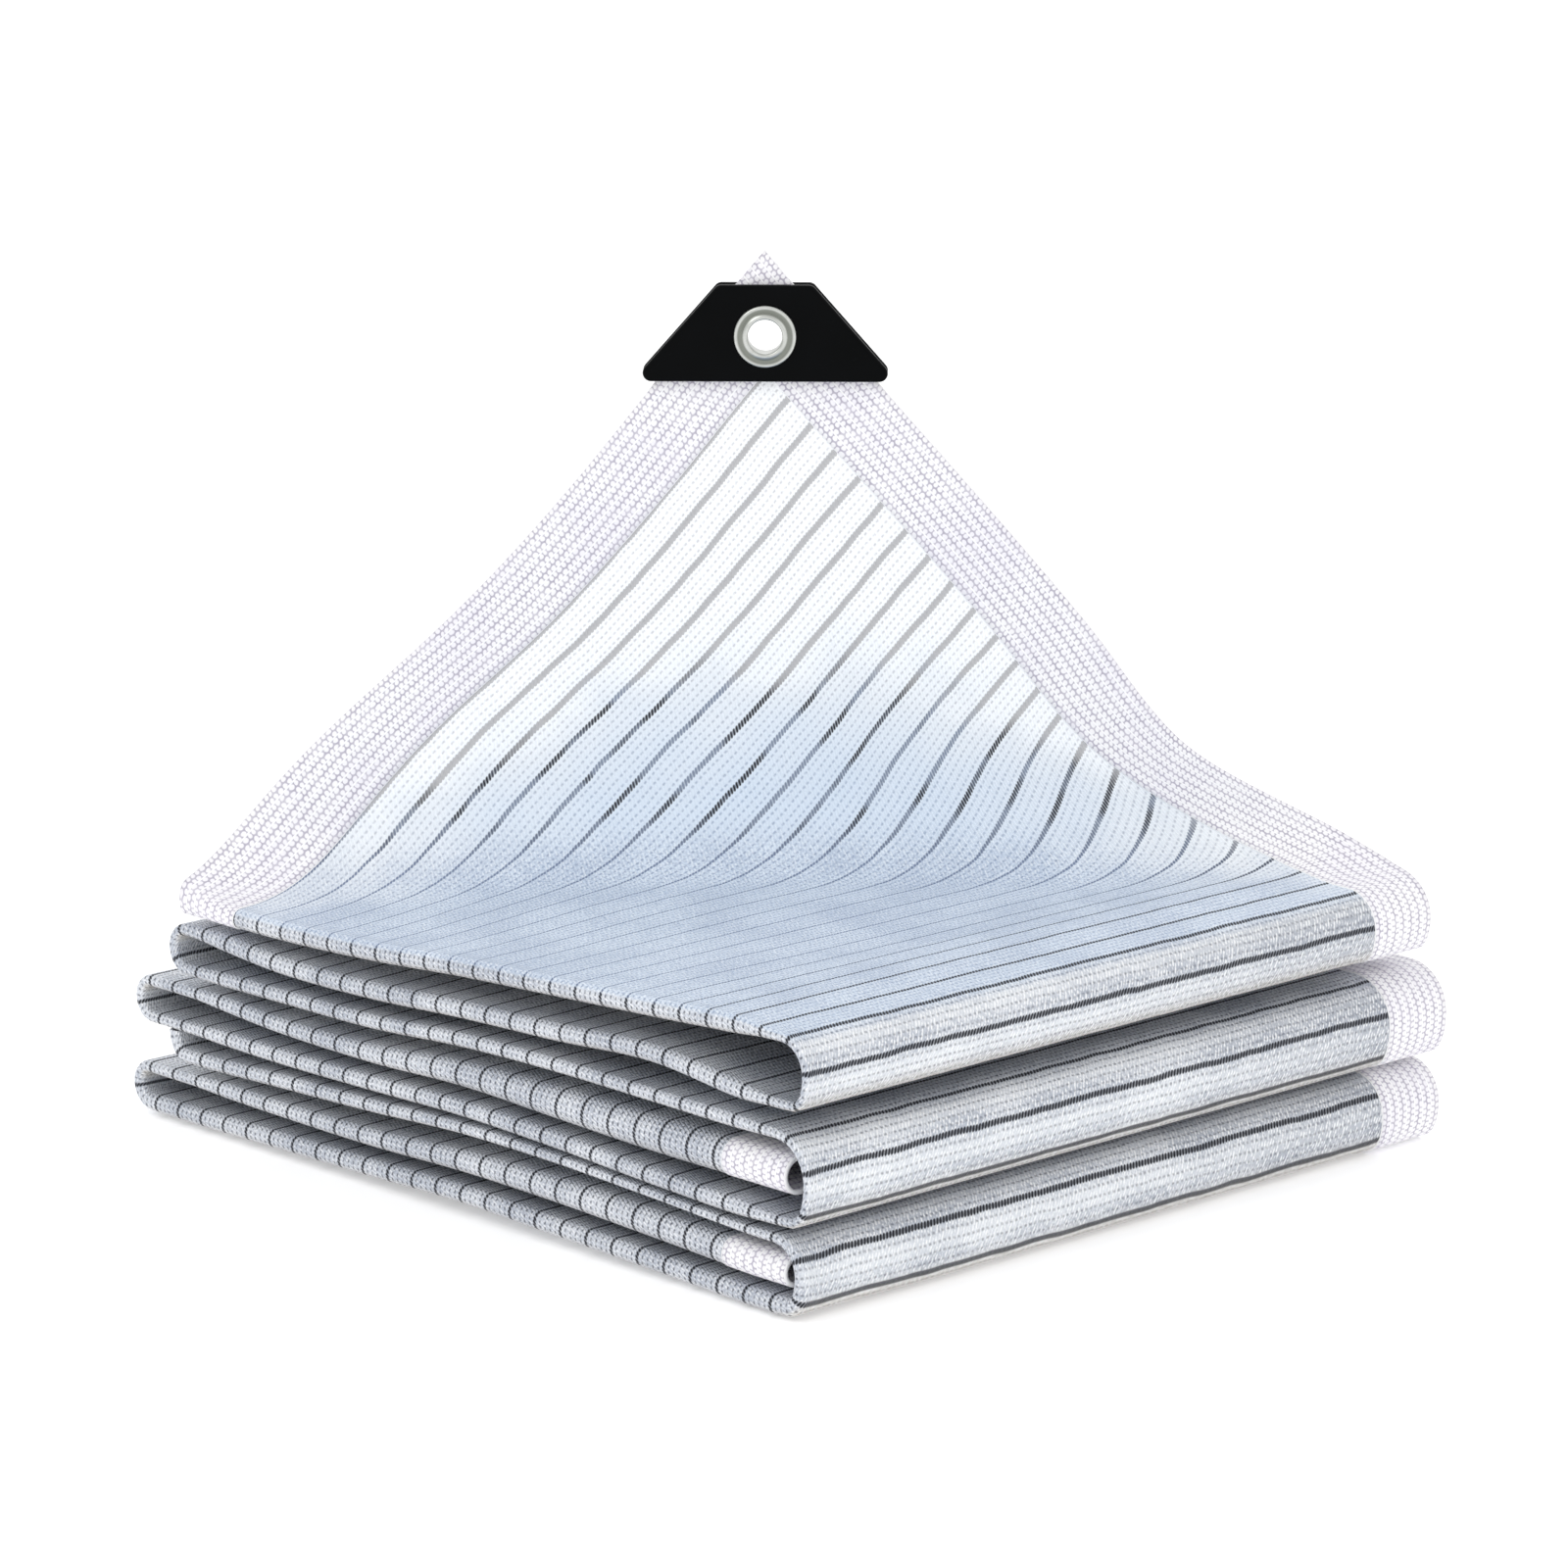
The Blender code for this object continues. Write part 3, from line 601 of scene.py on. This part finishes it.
# %% Clip plates and the hole for the eyelet
corner_points = outer_surface(np.array([[STACK_WIDTH, 90.0]]), corner_path)[0]
tip = (to_world(corner_points) + BOX_SHIFT)[0, 0]
eye = tip - np.array([0, 0, EYELET_BELOW_TIP])
print("tip", tip.round(4), "eyelet", eye.round(4))
GAP = 0.0003
EYELET_HOLE = 0.0056
EYELET_WALL = 0.0008
HOLE_ROOM = 0.0006
WEBBING_AT_CLIP = BAND_THICK + 0.0001
FACE_SHARES = (0.0, 0.05, 0.35, 0.7, 0.95)
EDGE_STEPS = 6
PUNCH_RADIUS, PUNCH_LENGTH, PUNCH_SIDES = 0.0069, 0.02, 64


def make_plate(name, middle_y):
    """A plate from rings, each with its flat outline and its distance from the plate's middle."""
    quarter = np.linspace(0, math.pi / 2, EDGE_STEPS)
    inset = CLIP_EDGE * (1 - np.sin(quarter))
    depth = CLIP_THICK / 2 - CLIP_EDGE * (1 - np.cos(quarter))
    eye_flat = np.array([0.0, CLIP_BELOW_TIP - EYELET_BELOW_TIP])
    to_edge = outline - eye_flat
    ray = to_edge / np.linalg.norm(to_edge, axis=1, keepdims=True)
    hole = eye_flat + ray * (EYELET_HOLE + EYELET_WALL + HOLE_ROOM)
    rings = []
    for share in FACE_SHARES:
        rings.append((hole + (outline - outline_normals * CLIP_EDGE - hole) * share, CLIP_THICK / 2))
    rings += [(outline - outline_normals * i, d) for i, d in zip(inset, depth)]
    rings += [(flat, -d) for flat, d in rings[::-1]]
    grid = [np.column_stack([flat[:, 0], np.full(len(flat), -d), flat[:, 1]]) for flat, d in rings]
    grid = np.stack(grid)[::-1]
    grid += np.array([tip[0], middle_y, tip[2] - CLIP_BELOW_TIP])
    return grid_mesh(name, grid, 0.0, 0.0, {}, closed=True)


def punch(piece):
    """Cuts the eyelet's hole through a piece of webbing and keeps the result as its mesh."""
    bpy.ops.mesh.primitive_cylinder_add(
        vertices=PUNCH_SIDES, radius=PUNCH_RADIUS, depth=PUNCH_LENGTH, location=eye
    )
    cutter = bpy.context.object
    cutter.rotation_euler.x = math.pi / 2
    hole = piece.modifiers.new("hole", "BOOLEAN")
    hole.object = cutter
    hole.solver = "EXACT"
    graph = bpy.context.evaluated_depsgraph_get()
    piece.data = bpy.data.meshes.new_from_object(piece.evaluated_get(graph))
    piece.modifiers.clear()
    bpy.data.objects.remove(cutter)


punch(bands["webbing_upper_face"][0])
plates = [
    make_plate("clip_plate_front", tip[1] - GAP - CLIP_THICK / 2),
    make_plate("clip_plate_back", tip[1] + WEBBING_AT_CLIP + GAP + CLIP_THICK / 2),
]
print("plates", {plate.name: len(plate.data.polygons) for plate in plates})

# %% [markdown]
# ## Eyelet
#
# The eyelet is a rolled ring, so it is a profile turned about the bore. Its flange has a raised rim, a
# shallow dish and a rolled lip, which give the two bright circles of a pressed eyelet. Each pair of the
# profile is a radius and a distance towards the viewer.

# %% Turn the eyelet
TURN_SIDES = 128
face = GAP + CLIP_THICK + GAP
rear = -(WEBBING_AT_CLIP + GAP + CLIP_THICK + GAP)
EYELET_PROFILE = (
    (0.0056, rear - 0.0016), (0.0056, face + 0.0006), (0.00566, face + 0.0011), (0.0059, face + 0.0015),
    (0.0063, face + 0.00165), (0.0068, face + 0.0016), (0.0072, face + 0.0013), (0.0078, face + 0.0010),
    (0.0086, face + 0.00092), (0.0092, face + 0.0010), (0.0096, face + 0.00115), (0.0100, face + 0.0010),
    (0.0103, face + 0.0006), (0.0103, face + 0.0001), (0.0099, face), (0.0064, face), (0.0064, rear - 0.0009),
    (0.0084, rear - 0.0009), (0.0085, rear - 0.0012), (0.0083, rear - 0.0016),
)
WASHER_PROFILE = (
    (0.0094, rear), (0.0095, rear - 0.0001), (0.0095, rear - 0.0006), (0.0092, rear - 0.0008),
    (0.0069, rear - 0.0008), (0.0067, rear - 0.0007), (0.0067, rear),
)


def turned(name, profile):
    """Turns (radius, distance towards the viewer) about the bore, which lies along Y."""
    radius, out = np.array(profile).T
    angle = np.arange(TURN_SIDES) * 2 * math.pi / TURN_SIDES
    x = radius[:, None] * np.cos(angle)
    z = radius[:, None] * np.sin(angle)
    grid = np.stack([x, np.broadcast_to(-out[:, None], x.shape), z], axis=-1) + eye
    piece = grid_mesh(name, grid[:, ::-1], angle[None, :] * EYELET_HOLE, radius[:, None], {}, closed=True)
    soft = piece.modifiers.new("round", "SUBSURF")
    soft.levels = 1
    soft.render_levels = 1
    return piece


eyelet = turned("eyelet_ring", EYELET_PROFILE)
washer = turned("eyelet_back_washer", WASHER_PROFILE)
print("eyelet", len(eyelet.data.polygons), "faces, washer", len(washer.data.polygons))

# %% [markdown]
# ## Material helpers
#
# Colours are written as the hex values seen in daylight and turned to linear light by one function. One
# function adds a node with its settings and links, and another does arithmetic between sockets.

# %% Node helpers


def linear(code):
    """'#RRGGBB' in sRGB to linear light."""
    srgb = np.array([int(code[i : i + 2], 16) / 255 for i in (1, 3, 5)])
    light = np.where(srgb <= 0.04045, srgb / 12.92, ((srgb + 0.055) / 1.055) ** 2.4)
    return tuple(float(c) for c in light) + (1.0,)


def new_material(name):
    """A material with its node tree and its shader."""
    material = bpy.data.materials.new(name)
    material.use_nodes = True
    tree = material.node_tree
    return material, tree, tree.nodes["Principled BSDF"]


def add(tree, kind, inputs=(), **settings):
    """A node of that kind with its settings, and each input set to a value or linked to a socket."""
    node = tree.nodes.new(kind)
    for key, value in settings.items():
        setattr(node, key, value)
    for key, value in dict(inputs).items():
        if isinstance(value, bpy.types.NodeSocket):
            tree.links.new(value, node.inputs[key])
        else:
            node.inputs[key].default_value = value
    return node


def calc(tree, operation, *values):
    """Arithmetic between sockets and values."""
    return add(tree, "ShaderNodeMath", dict(enumerate(values)), operation=operation).outputs[0]


def ramp(tree, value, low, high, to_low=0.0, to_high=1.0):
    """A soft step from to_low to to_high as the value goes from low to high."""
    inputs = {"Value": value, "From Min": low, "From Max": high, "To Min": to_low, "To Max": to_high}
    return add(tree, "ShaderNodeMapRange", inputs, interpolation_type="SMOOTHSTEP").outputs["Result"]


def blend(tree, factor, first, second):
    """From the first colour to the second as the factor goes from 0 to 1."""
    node = add(tree, "ShaderNodeMix", {"Factor": factor}, data_type="RGBA")
    for socket, value in ((node.inputs[6], first), (node.inputs[7], second)):
        if isinstance(value, bpy.types.NodeSocket):
            tree.links.new(value, socket)
        else:
            socket.default_value = linear(value)
    return node.outputs[2]


def line(tree, value, width, soft):
    """1 within half the width of each whole number of the value, 0 elsewhere."""
    part = calc(tree, "SUBTRACT", calc(tree, "FRACT", calc(tree, "ADD", value, 0.5)), 0.5)
    away = calc(tree, "ABSOLUTE", part)
    half = calc(tree, "MULTIPLY", width, 0.5)
    return ramp(tree, away, calc(tree, "ADD", half, soft), calc(tree, "SUBTRACT", half, soft))


def noise(tree, vector, scale, detail=2.0):
    inputs = {"Vector": vector, "Scale": scale, "Detail": detail}
    return add(tree, "ShaderNodeTexNoise", inputs).outputs["Fac"]


def attribute(tree, name):
    return add(tree, "ShaderNodeAttribute", attribute_name=name).outputs["Fac"]


def cloth_map(tree):
    """The two sockets of the piece's own map."""
    uv = add(tree, "ShaderNodeUVMap", uv_map="cloth").outputs[0]
    parts = add(tree, "ShaderNodeSeparateXYZ", {"Vector": uv})
    return parts.outputs["X"], parts.outputs["Y"]


def object_place(tree):
    return add(tree, "ShaderNodeTexCoord").outputs["Object"]


def relief(tree, height, strength, distance):
    inputs = {"Height": height, "Strength": strength, "Distance": distance}
    return add(tree, "ShaderNodeBump", inputs).outputs["Normal"]


def connect(tree, shader, sockets):
    for name, socket in sockets.items():
        tree.links.new(socket, shader.inputs[name])


# %% [markdown]
# ## Knitted foil net
#
# The real net is aluminised tape, about 2 mm wide, knitted with clear thread, and every 12 mm a dark thread
# shows as a stripe. The knots make rows of short dark ticks, five to a stripe. Where the cloth turns over a
# near fold the tape catches the light, painted here as bright streaks; where it lies flat it gets a painted
# reflection of the sky, and the light that comes through it where it stands up is painted too, so the stripes
# there look pale and wide.

# %% Net material: places and noises
net_material, tree, shader = new_material("knitted foil net")
across, phase = cloth_map(tree)
place = object_place(tree)
side = add(tree, "ShaderNodeSeparateXYZ", {"Vector": place}).outputs["X"]
near, down, top, rise, far = (attribute(tree, name) for name in ("near", "down", "top", "rise", "far"))
mm = calc(tree, "MULTIPLY", across, 1000.0)
drift = noise(tree, place, 70.0, 1.0)
row = calc(tree, "ADD", phase, calc(tree, "MULTIPLY_ADD", drift, 0.10, -0.05))
patchy = noise(tree, place, 38.0, 2.0)
grain = noise(tree, place, 1100.0, 1.0)
print("places for", net_material.name)

# %% [markdown]
# The light that comes through the raised corner is painted, from lower down at its sides than at its middle.
# The top ply that lies flat gets a painted reflection of the sky, more so towards the back.

# %% Net material: where light comes through
outward = ramp(tree, calc(tree, "ABSOLUTE", side), 0.02, 0.17, 0.31, 0.06)
above = calc(tree, "SUBTRACT", calc(tree, "MULTIPLY_ADD", patchy, 0.16, rise), outward)
lit = calc(tree, "MULTIPLY", top, ramp(tree, above, 0.04, 0.12))
painted_backlight = calc(tree, "MULTIPLY", top, ramp(tree, above, -0.16, 0.20))
flap = calc(tree, "MULTIPLY", top, ramp(tree, rise, 0.0, 0.10))
flat_top = calc(tree, "MULTIPLY", calc(tree, "SUBTRACT", top, flap), far)

# %% [markdown]
# A stripe is a line at each whole number of the phase. The twill of the knit breaks it up, and it is widest
# where light comes through.

# %% Net material: stripes
width = calc(tree, "MULTIPLY_ADD", near, 0.025, calc(tree, "MULTIPLY_ADD", flat_top, -0.045, 0.095))
width = calc(tree, "MULTIPLY_ADD", flap, 0.030, width)
width = calc(tree, "MULTIPLY_ADD", lit, 0.055, width)
slant = calc(tree, "DIVIDE", calc(tree, "MULTIPLY_ADD", phase, 7.0, mm), 1.35)
twill = line(tree, slant, 0.60, 0.16)
jagged = calc(tree, "MULTIPLY_ADD", twill, 0.050, calc(tree, "SUBTRACT", width, 0.020))
stripe = line(tree, row, jagged, 0.020)
whole = calc(tree, "MAXIMUM", twill, lit)
stripe = calc(tree, "MULTIPLY", stripe, calc(tree, "MULTIPLY_ADD", whole, 0.45, 0.55))

# %% [markdown]
# The ticks are the knots' short dark holes, five rows to a stripe and 2.1 mm apart. The stitches are bare
# foil that slants along the tape in streaks, and further on they carry painted glints.

# %% Net material: ticks and stitches
tick_row = line(tree, calc(tree, "MULTIPLY", row, 5.0), 0.26, 0.12)
tick = calc(tree, "MULTIPLY", tick_row, line(tree, calc(tree, "DIVIDE", mm, 2.1), 0.56, 0.16))
tick = calc(tree, "MULTIPLY", tick, ramp(tree, grain, 0.25, 0.55, 0.45, 1.0))
stretched = {0: calc(tree, "MULTIPLY", mm, 0.9), 1: calc(tree, "MULTIPLY", phase, 7.0)}
streak = noise(tree, add(tree, "ShaderNodeCombineXYZ", stretched).outputs[0], 1.0, 2.0)
stitches = calc(tree, "MULTIPLY", twill, ramp(tree, streak, 0.42, 0.60))
patch = ramp(tree, patchy, 0.35, 0.65)
speckle = ramp(tree, grain, 0.40, 0.62)

# %% [markdown]
# The foil's own colour goes from grey to near white, patch by patch. A painted highlight makes it brightest
# halfway between the stripes on the near folds, painted shade makes it darker along them to the right, and a
# painted reflection of the floor gives it a warm tone where it faces down.

# %% Net material: silver of the folds
# Painted highlight: a bright band between the stripes on the near folds.
sheen = line(tree, calc(tree, "ADD", row, 0.62), 0.46, 0.20)
silver = blend(tree, patch, "#B9BFCA", "#DADEE5")
silver = blend(tree, calc(tree, "MULTIPLY", speckle, 0.40), silver, "#8D93A1")
silver = blend(tree, calc(tree, "MULTIPLY", near, calc(tree, "MULTIPLY", sheen, 0.60)), silver, "#EEF1F5")
# Painted shade: the near folds darker towards the selvedge.
shade = calc(tree, "MULTIPLY", near, ramp(tree, across, 0.12, 0.27, 0.0, 0.50))
silver = blend(tree, shade, silver, "#858B99")
# Painted reflection of the floor: a warm tone where the foil faces down.
silver = blend(tree, calc(tree, "MULTIPLY", down, 0.80), silver, "#CFC9C0")
# Painted glints: the stitches near white, most of all on the near folds.
painted_glint = calc(tree, "MULTIPLY", stitches, calc(tree, "MULTIPLY_ADD", near, 0.30, 0.55))
silver = blend(tree, painted_glint, silver, "#FAFBFD")

# %% [markdown]
# The flat top is painted sky blue, a painted reflection of the sky, and the raised corner goes over to a pale
# colour painted for the daylight that comes through it.

# %% Net material: painted sky reflection on the top
top_with_painted_sky = blend(tree, patch, "#C2CFE1", "#D4E0EF")
top_with_painted_sky = blend(tree, calc(tree, "MULTIPLY", speckle, 0.55), top_with_painted_sky, "#9FAEC6")
# Painted glints on the stitches of the top as well.
top_with_painted_sky = blend(tree, calc(tree, "MULTIPLY", stitches, 0.45), top_with_painted_sky, "#F2F7FC")
colour = blend(tree, top, silver, top_with_painted_sky)
# Painted light: the raised corner turns a pale daylight blue, and paler still where light comes through it.
colour = blend(tree, flap, colour, "#DCE8F6")
colour = blend(tree, painted_backlight, colour, "#F5F7F9")

# %% [markdown]
# Ticks and stripes are laid over the foil last. Both are painted pale where light comes through.

# %% Net material: ticks and stripes over the foil
tick_shade = blend(tree, top, "#3E434F", "#8E9EBA")
tick_shade = blend(tree, flap, tick_shade, "#A3B4CB")
tick_shade = blend(tree, painted_backlight, tick_shade, "#C9CACE")
tick_share = calc(tree, "MULTIPLY", tick, calc(tree, "MULTIPLY_ADD", near, -0.35, 0.85))
colour = blend(tree, tick_share, colour, tick_shade)

# On the flat top the stripes are paler: a painted reflection of the sky.
dark = blend(tree, flat_top, "#1E2028", "#74829E")
uneven = calc(tree, "MULTIPLY", flap, ramp(tree, drift, 0.36, 0.56, 0.0, 0.85))
dark = blend(tree, uneven, dark, "#8C98AC")
dark = blend(tree, lit, dark, "#B7B7B9")
colour = blend(tree, stripe, colour, dark)

# %% [markdown]
# The relief is under 1 mm, so it is a bump. Only the foil of the folds is part metal, and its stitches are
# the smoothest places.

# %% Net material: relief and shader
height = calc(tree, "MULTIPLY_ADD", streak, 0.6, calc(tree, "MULTIPLY", twill, 0.5))
height = calc(tree, "SUBTRACT", height, calc(tree, "MULTIPLY", tick, 0.6))
height = calc(tree, "SUBTRACT", height, calc(tree, "MULTIPLY", stripe, 0.5))
outputs = {
    "Base Color": colour,
    "Metallic": calc(tree, "MULTIPLY_ADD", top, -0.40, 0.40),
    "Roughness": calc(tree, "MULTIPLY_ADD", stripe, 0.35, calc(tree, "MULTIPLY_ADD", stitches, -0.20, 0.50)),
    "Normal": relief(tree, height, 0.6, 0.0006),
    # Where light comes through, the net also glows a little: a painted glow.
    "Emission Color": colour,
    "Emission Strength": calc(tree, "MULTIPLY", lit, 0.08),
}
connect(tree, shader, outputs)
print("net material", len(tree.nodes), "nodes")

# %% [markdown]
# ## Webbing
#
# White polypropylene webbing in an open weave: yarns 2 mm apart loop round small lilac-grey gaps, each
# column of loops half a step from the next, and a raised line of yarn runs along it every 4 mm.

# %% Webbing material
YARN_ACROSS = 0.0020
YARN_ALONG = 0.0021
RIB_ACROSS = 0.0040


def make_webbing_material():
    material, tree, shader = new_material("white woven webbing")
    from_inner, length = cloth_map(tree)
    place = object_place(tree)
    loose = calc(tree, "MULTIPLY_ADD", noise(tree, place, 260.0, 1.0), 0.9, -0.45)
    across = calc(tree, "MULTIPLY_ADD", loose, 0.25, calc(tree, "DIVIDE", from_inner, YARN_ACROSS))
    column = calc(tree, "PINGPONG", calc(tree, "FLOOR", across), 1.0)
    along = calc(tree, "ADD", calc(tree, "DIVIDE", length, YARN_ALONG), loose)
    along = calc(tree, "MULTIPLY_ADD", column, 0.5, along)
    u = calc(tree, "SUBTRACT", calc(tree, "FRACT", across), 0.5)
    v = calc(tree, "SUBTRACT", calc(tree, "FRACT", along), 0.5)
    squares = calc(tree, "ADD", calc(tree, "POWER", u, 2.0), calc(tree, "POWER", v, 2.0))
    gap = ramp(tree, calc(tree, "SQRT", squares), 0.34, 0.50)
    rib = line(tree, calc(tree, "DIVIDE", from_inner, RIB_ACROSS), 0.15, 0.06)
    tint = ramp(tree, noise(tree, place, 45.0, 1.0), 0.35, 0.70)
    colour = blend(tree, tint, "#F4F3F5", "#EFEDF3")
    gap_share = calc(tree, "MULTIPLY", gap, ramp(tree, loose, -0.25, 0.20, 0.60, 0.95))
    colour = blend(tree, gap_share, colour, "#AFAABA")
    colour = blend(tree, rib, colour, "#FCFCFD")
    height = calc(tree, "MULTIPLY_ADD", rib, 0.9, calc(tree, "MULTIPLY", gap, -0.7))
    connect(tree, shader, {"Base Color": colour, "Normal": relief(tree, height, 0.5, 0.0004)})
    shader.inputs["Roughness"].default_value = 0.75
    return material


webbing_material = make_webbing_material()
print("webbing material", len(webbing_material.node_tree.nodes), "nodes")

# %% [markdown]
# ## Clip and eyelet
#
# The clip is injection moulded in black polypropylene with a fine spark-eroded texture, so it is satin with
# soft highlights on its edges. The eyelet is pressed brass, nickel plated and tumbled, so it has a satin
# metal surface with faint turning marks round the bore. Its dish is painted darker than its rim and its lip,
# a painted reflection of darker surroundings.

# %% Clip and eyelet materials
TURNING_MARKS = 9000.0
DISH_RADIUS = 0.0082


def make_clip_material():
    material, tree, shader = new_material("black moulded plastic")
    place = object_place(tree)
    fine = noise(tree, place, 2600.0, 3.0)
    broad = noise(tree, place, 60.0, 2.0)
    outputs = {
        "Base Color": blend(tree, broad, "#010202", "#060709"),
        "Roughness": ramp(tree, broad, 0.3, 0.7, 0.30, 0.38),
        "Normal": relief(tree, fine, 0.12, 0.0001),
    }
    connect(tree, shader, outputs)
    shader.inputs["Specular IOR Level"].default_value = 0.05
    return material


def make_metal_material():
    material, tree, shader = new_material("satin nickel plating")
    radius = cloth_map(tree)[1]
    place = object_place(tree)
    grooves = add(tree, "ShaderNodeCombineXYZ", {0: calc(tree, "MULTIPLY", radius, TURNING_MARKS)})
    rings = noise(tree, grooves.outputs[0], 1.0)
    from_dish = calc(tree, "ABSOLUTE", calc(tree, "SUBTRACT", radius, DISH_RADIUS))
    plated = blend(tree, noise(tree, place, 300.0, 2.0), "#B4B6B1", "#D0D2CE")
    outputs = {
        # Painted reflection: the dish darker than the rim and the lip.
        "Base Color": blend(tree, ramp(tree, from_dish, 0.0013, 0.0006), plated, "#7E817A"),
        "Roughness": ramp(tree, rings, 0.3, 0.7, 0.24, 0.36),
        "Normal": relief(tree, rings, 0.15, 0.00005),
    }
    connect(tree, shader, outputs)
    shader.inputs["Metallic"].default_value = 1.0
    return material


clip_material, metal_material = make_clip_material(), make_metal_material()
print("materials", clip_material.name, "and", metal_material.name)

# %% [markdown]
# ## Riding on the frame
#
# The object has one body. Each piece rides on it and stands for its solid.

# %% Dress the frame
dressed = [(piece, net_material, "net_cloth", "reflective_net") for piece in net_parts]
dressed += [(piece, webbing_material, replaced, "white_webbing") for piece, replaced in bands.values()]
dressed += [
    (plates[0], clip_material, "clip_front", "black_clip"),
    (plates[1], clip_material, "clip_back", "black_clip"),
    (eyelet, metal_material, "eyelet", "nickel_eyelet"),
    (washer, metal_material, "eyelet_washer", "nickel_eyelet"),
]
for piece, material, replaced, slot in dressed:
    piece.data.materials.append(material)
    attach(piece, "root")
    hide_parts(replaced)
print("pieces", [piece.name for piece, material, replaced, slot in dressed])

# %% [markdown]

# %% [markdown]
# ## Stage
#
# A white floor and a white surround, as in a product photo, with a large soft light from the upper left. Each
# light has its place, its size in metres and its power in watts.

# %% Floor, lights and world
FLOOR_REACH = 6.0
LIGHT_AIM = (0, 0, 0.12)
LIGHTS = {
    "key": ((-1.3, -1.5, 1.9), 1.2, 9),
    "fill": ((1.6, -1.2, 1.0), 1.2, 2),
    "back": ((0.2, 1.8, 1.5), 1.5, 3),
}


def make_floor():
    mesh = bpy.data.meshes.new("floor")
    corners = [(x * FLOOR_REACH, y * FLOOR_REACH, 0) for x, y in ((-1, -1), (1, -1), (1, 1), (-1, 1))]
    mesh.from_pydata(corners, [], [(0, 1, 2, 3)])
    floor = bpy.data.objects.new("floor", mesh)
    bpy.context.scene.collection.objects.link(floor)
    material, tree, shader = new_material("white paper sweep")
    paper = blend(tree, noise(tree, object_place(tree), 3.0), "#F4F4F5", "#FAFAFA")
    connect(tree, shader, {"Base Color": paper})
    shader.inputs["Roughness"].default_value = 0.9
    shader.inputs["Emission Color"].default_value = (1.0, 1.0, 1.0, 1.0)
    shader.inputs["Emission Strength"].default_value = 0.25
    mesh.materials.append(material)


def add_light(name, place, size, watts):
    light = bpy.data.lights.new(name, "AREA")
    light.size = size
    light.energy = watts
    obj = bpy.data.objects.new(name, light)
    obj.location = place
    obj.rotation_euler = (Vector(LIGHT_AIM) - obj.location).to_track_quat("-Z", "Y").to_euler()
    bpy.context.scene.collection.objects.link(obj)


make_floor()
for name, (place, size, watts) in LIGHTS.items():
    add_light(name, place, size, watts)
world = bpy.data.worlds.new("white surround")
bpy.context.scene.world = world
world.use_nodes = True
background = world.node_tree.nodes["Background"]
background.inputs["Color"].default_value = (1.0, 1.0, 1.0, 1.0)
background.inputs["Strength"].default_value = 1.0
bpy.context.scene.view_settings.view_transform = "Standard"
print("lights", list(LIGHTS))

# %% [markdown]
# ## Camera
#
# The camera was fitted to the stack's edges in the photo: it looks at the stack from 2 m, 13.3 degrees above
# the horizon, with a long lens. The stack's x edge lies at 43.6 degrees to the picture plane.

# %% Place the camera
DISTANCE = 2.0
ELEVATION = math.radians(13.3)
EDGE_TURN = math.radians(43.6)
AIM_ASIDE, AIM_HEIGHT = 0.0006, 0.168
SENSOR, LENS = 36, 154.06
spin = math.atan2(TOP_LENGTH, STACK_WIDTH) - EDGE_TURN
aim = BOX_SHIFT + np.array([AIM_ASIDE * math.cos(spin), AIM_ASIDE * math.sin(spin), AIM_HEIGHT])
back = np.array([math.sin(spin), -math.cos(spin), 0.0]) * DISTANCE * math.cos(ELEVATION)
camera = bpy.data.cameras.new("photo view")
camera.sensor_width = SENSOR
camera.lens = LENS
camera_object = bpy.data.objects.new("photo view", camera)
camera_object.location = Vector(aim + back + np.array([0, 0, DISTANCE * math.sin(ELEVATION)]))
camera_object.rotation_euler = (Vector(aim) - camera_object.location).to_track_quat("-Z", "Y").to_euler()
bpy.context.scene.collection.objects.link(camera_object)
bpy.context.scene.camera = camera_object
print("camera at", tuple(round(c, 3) for c in camera_object.location))
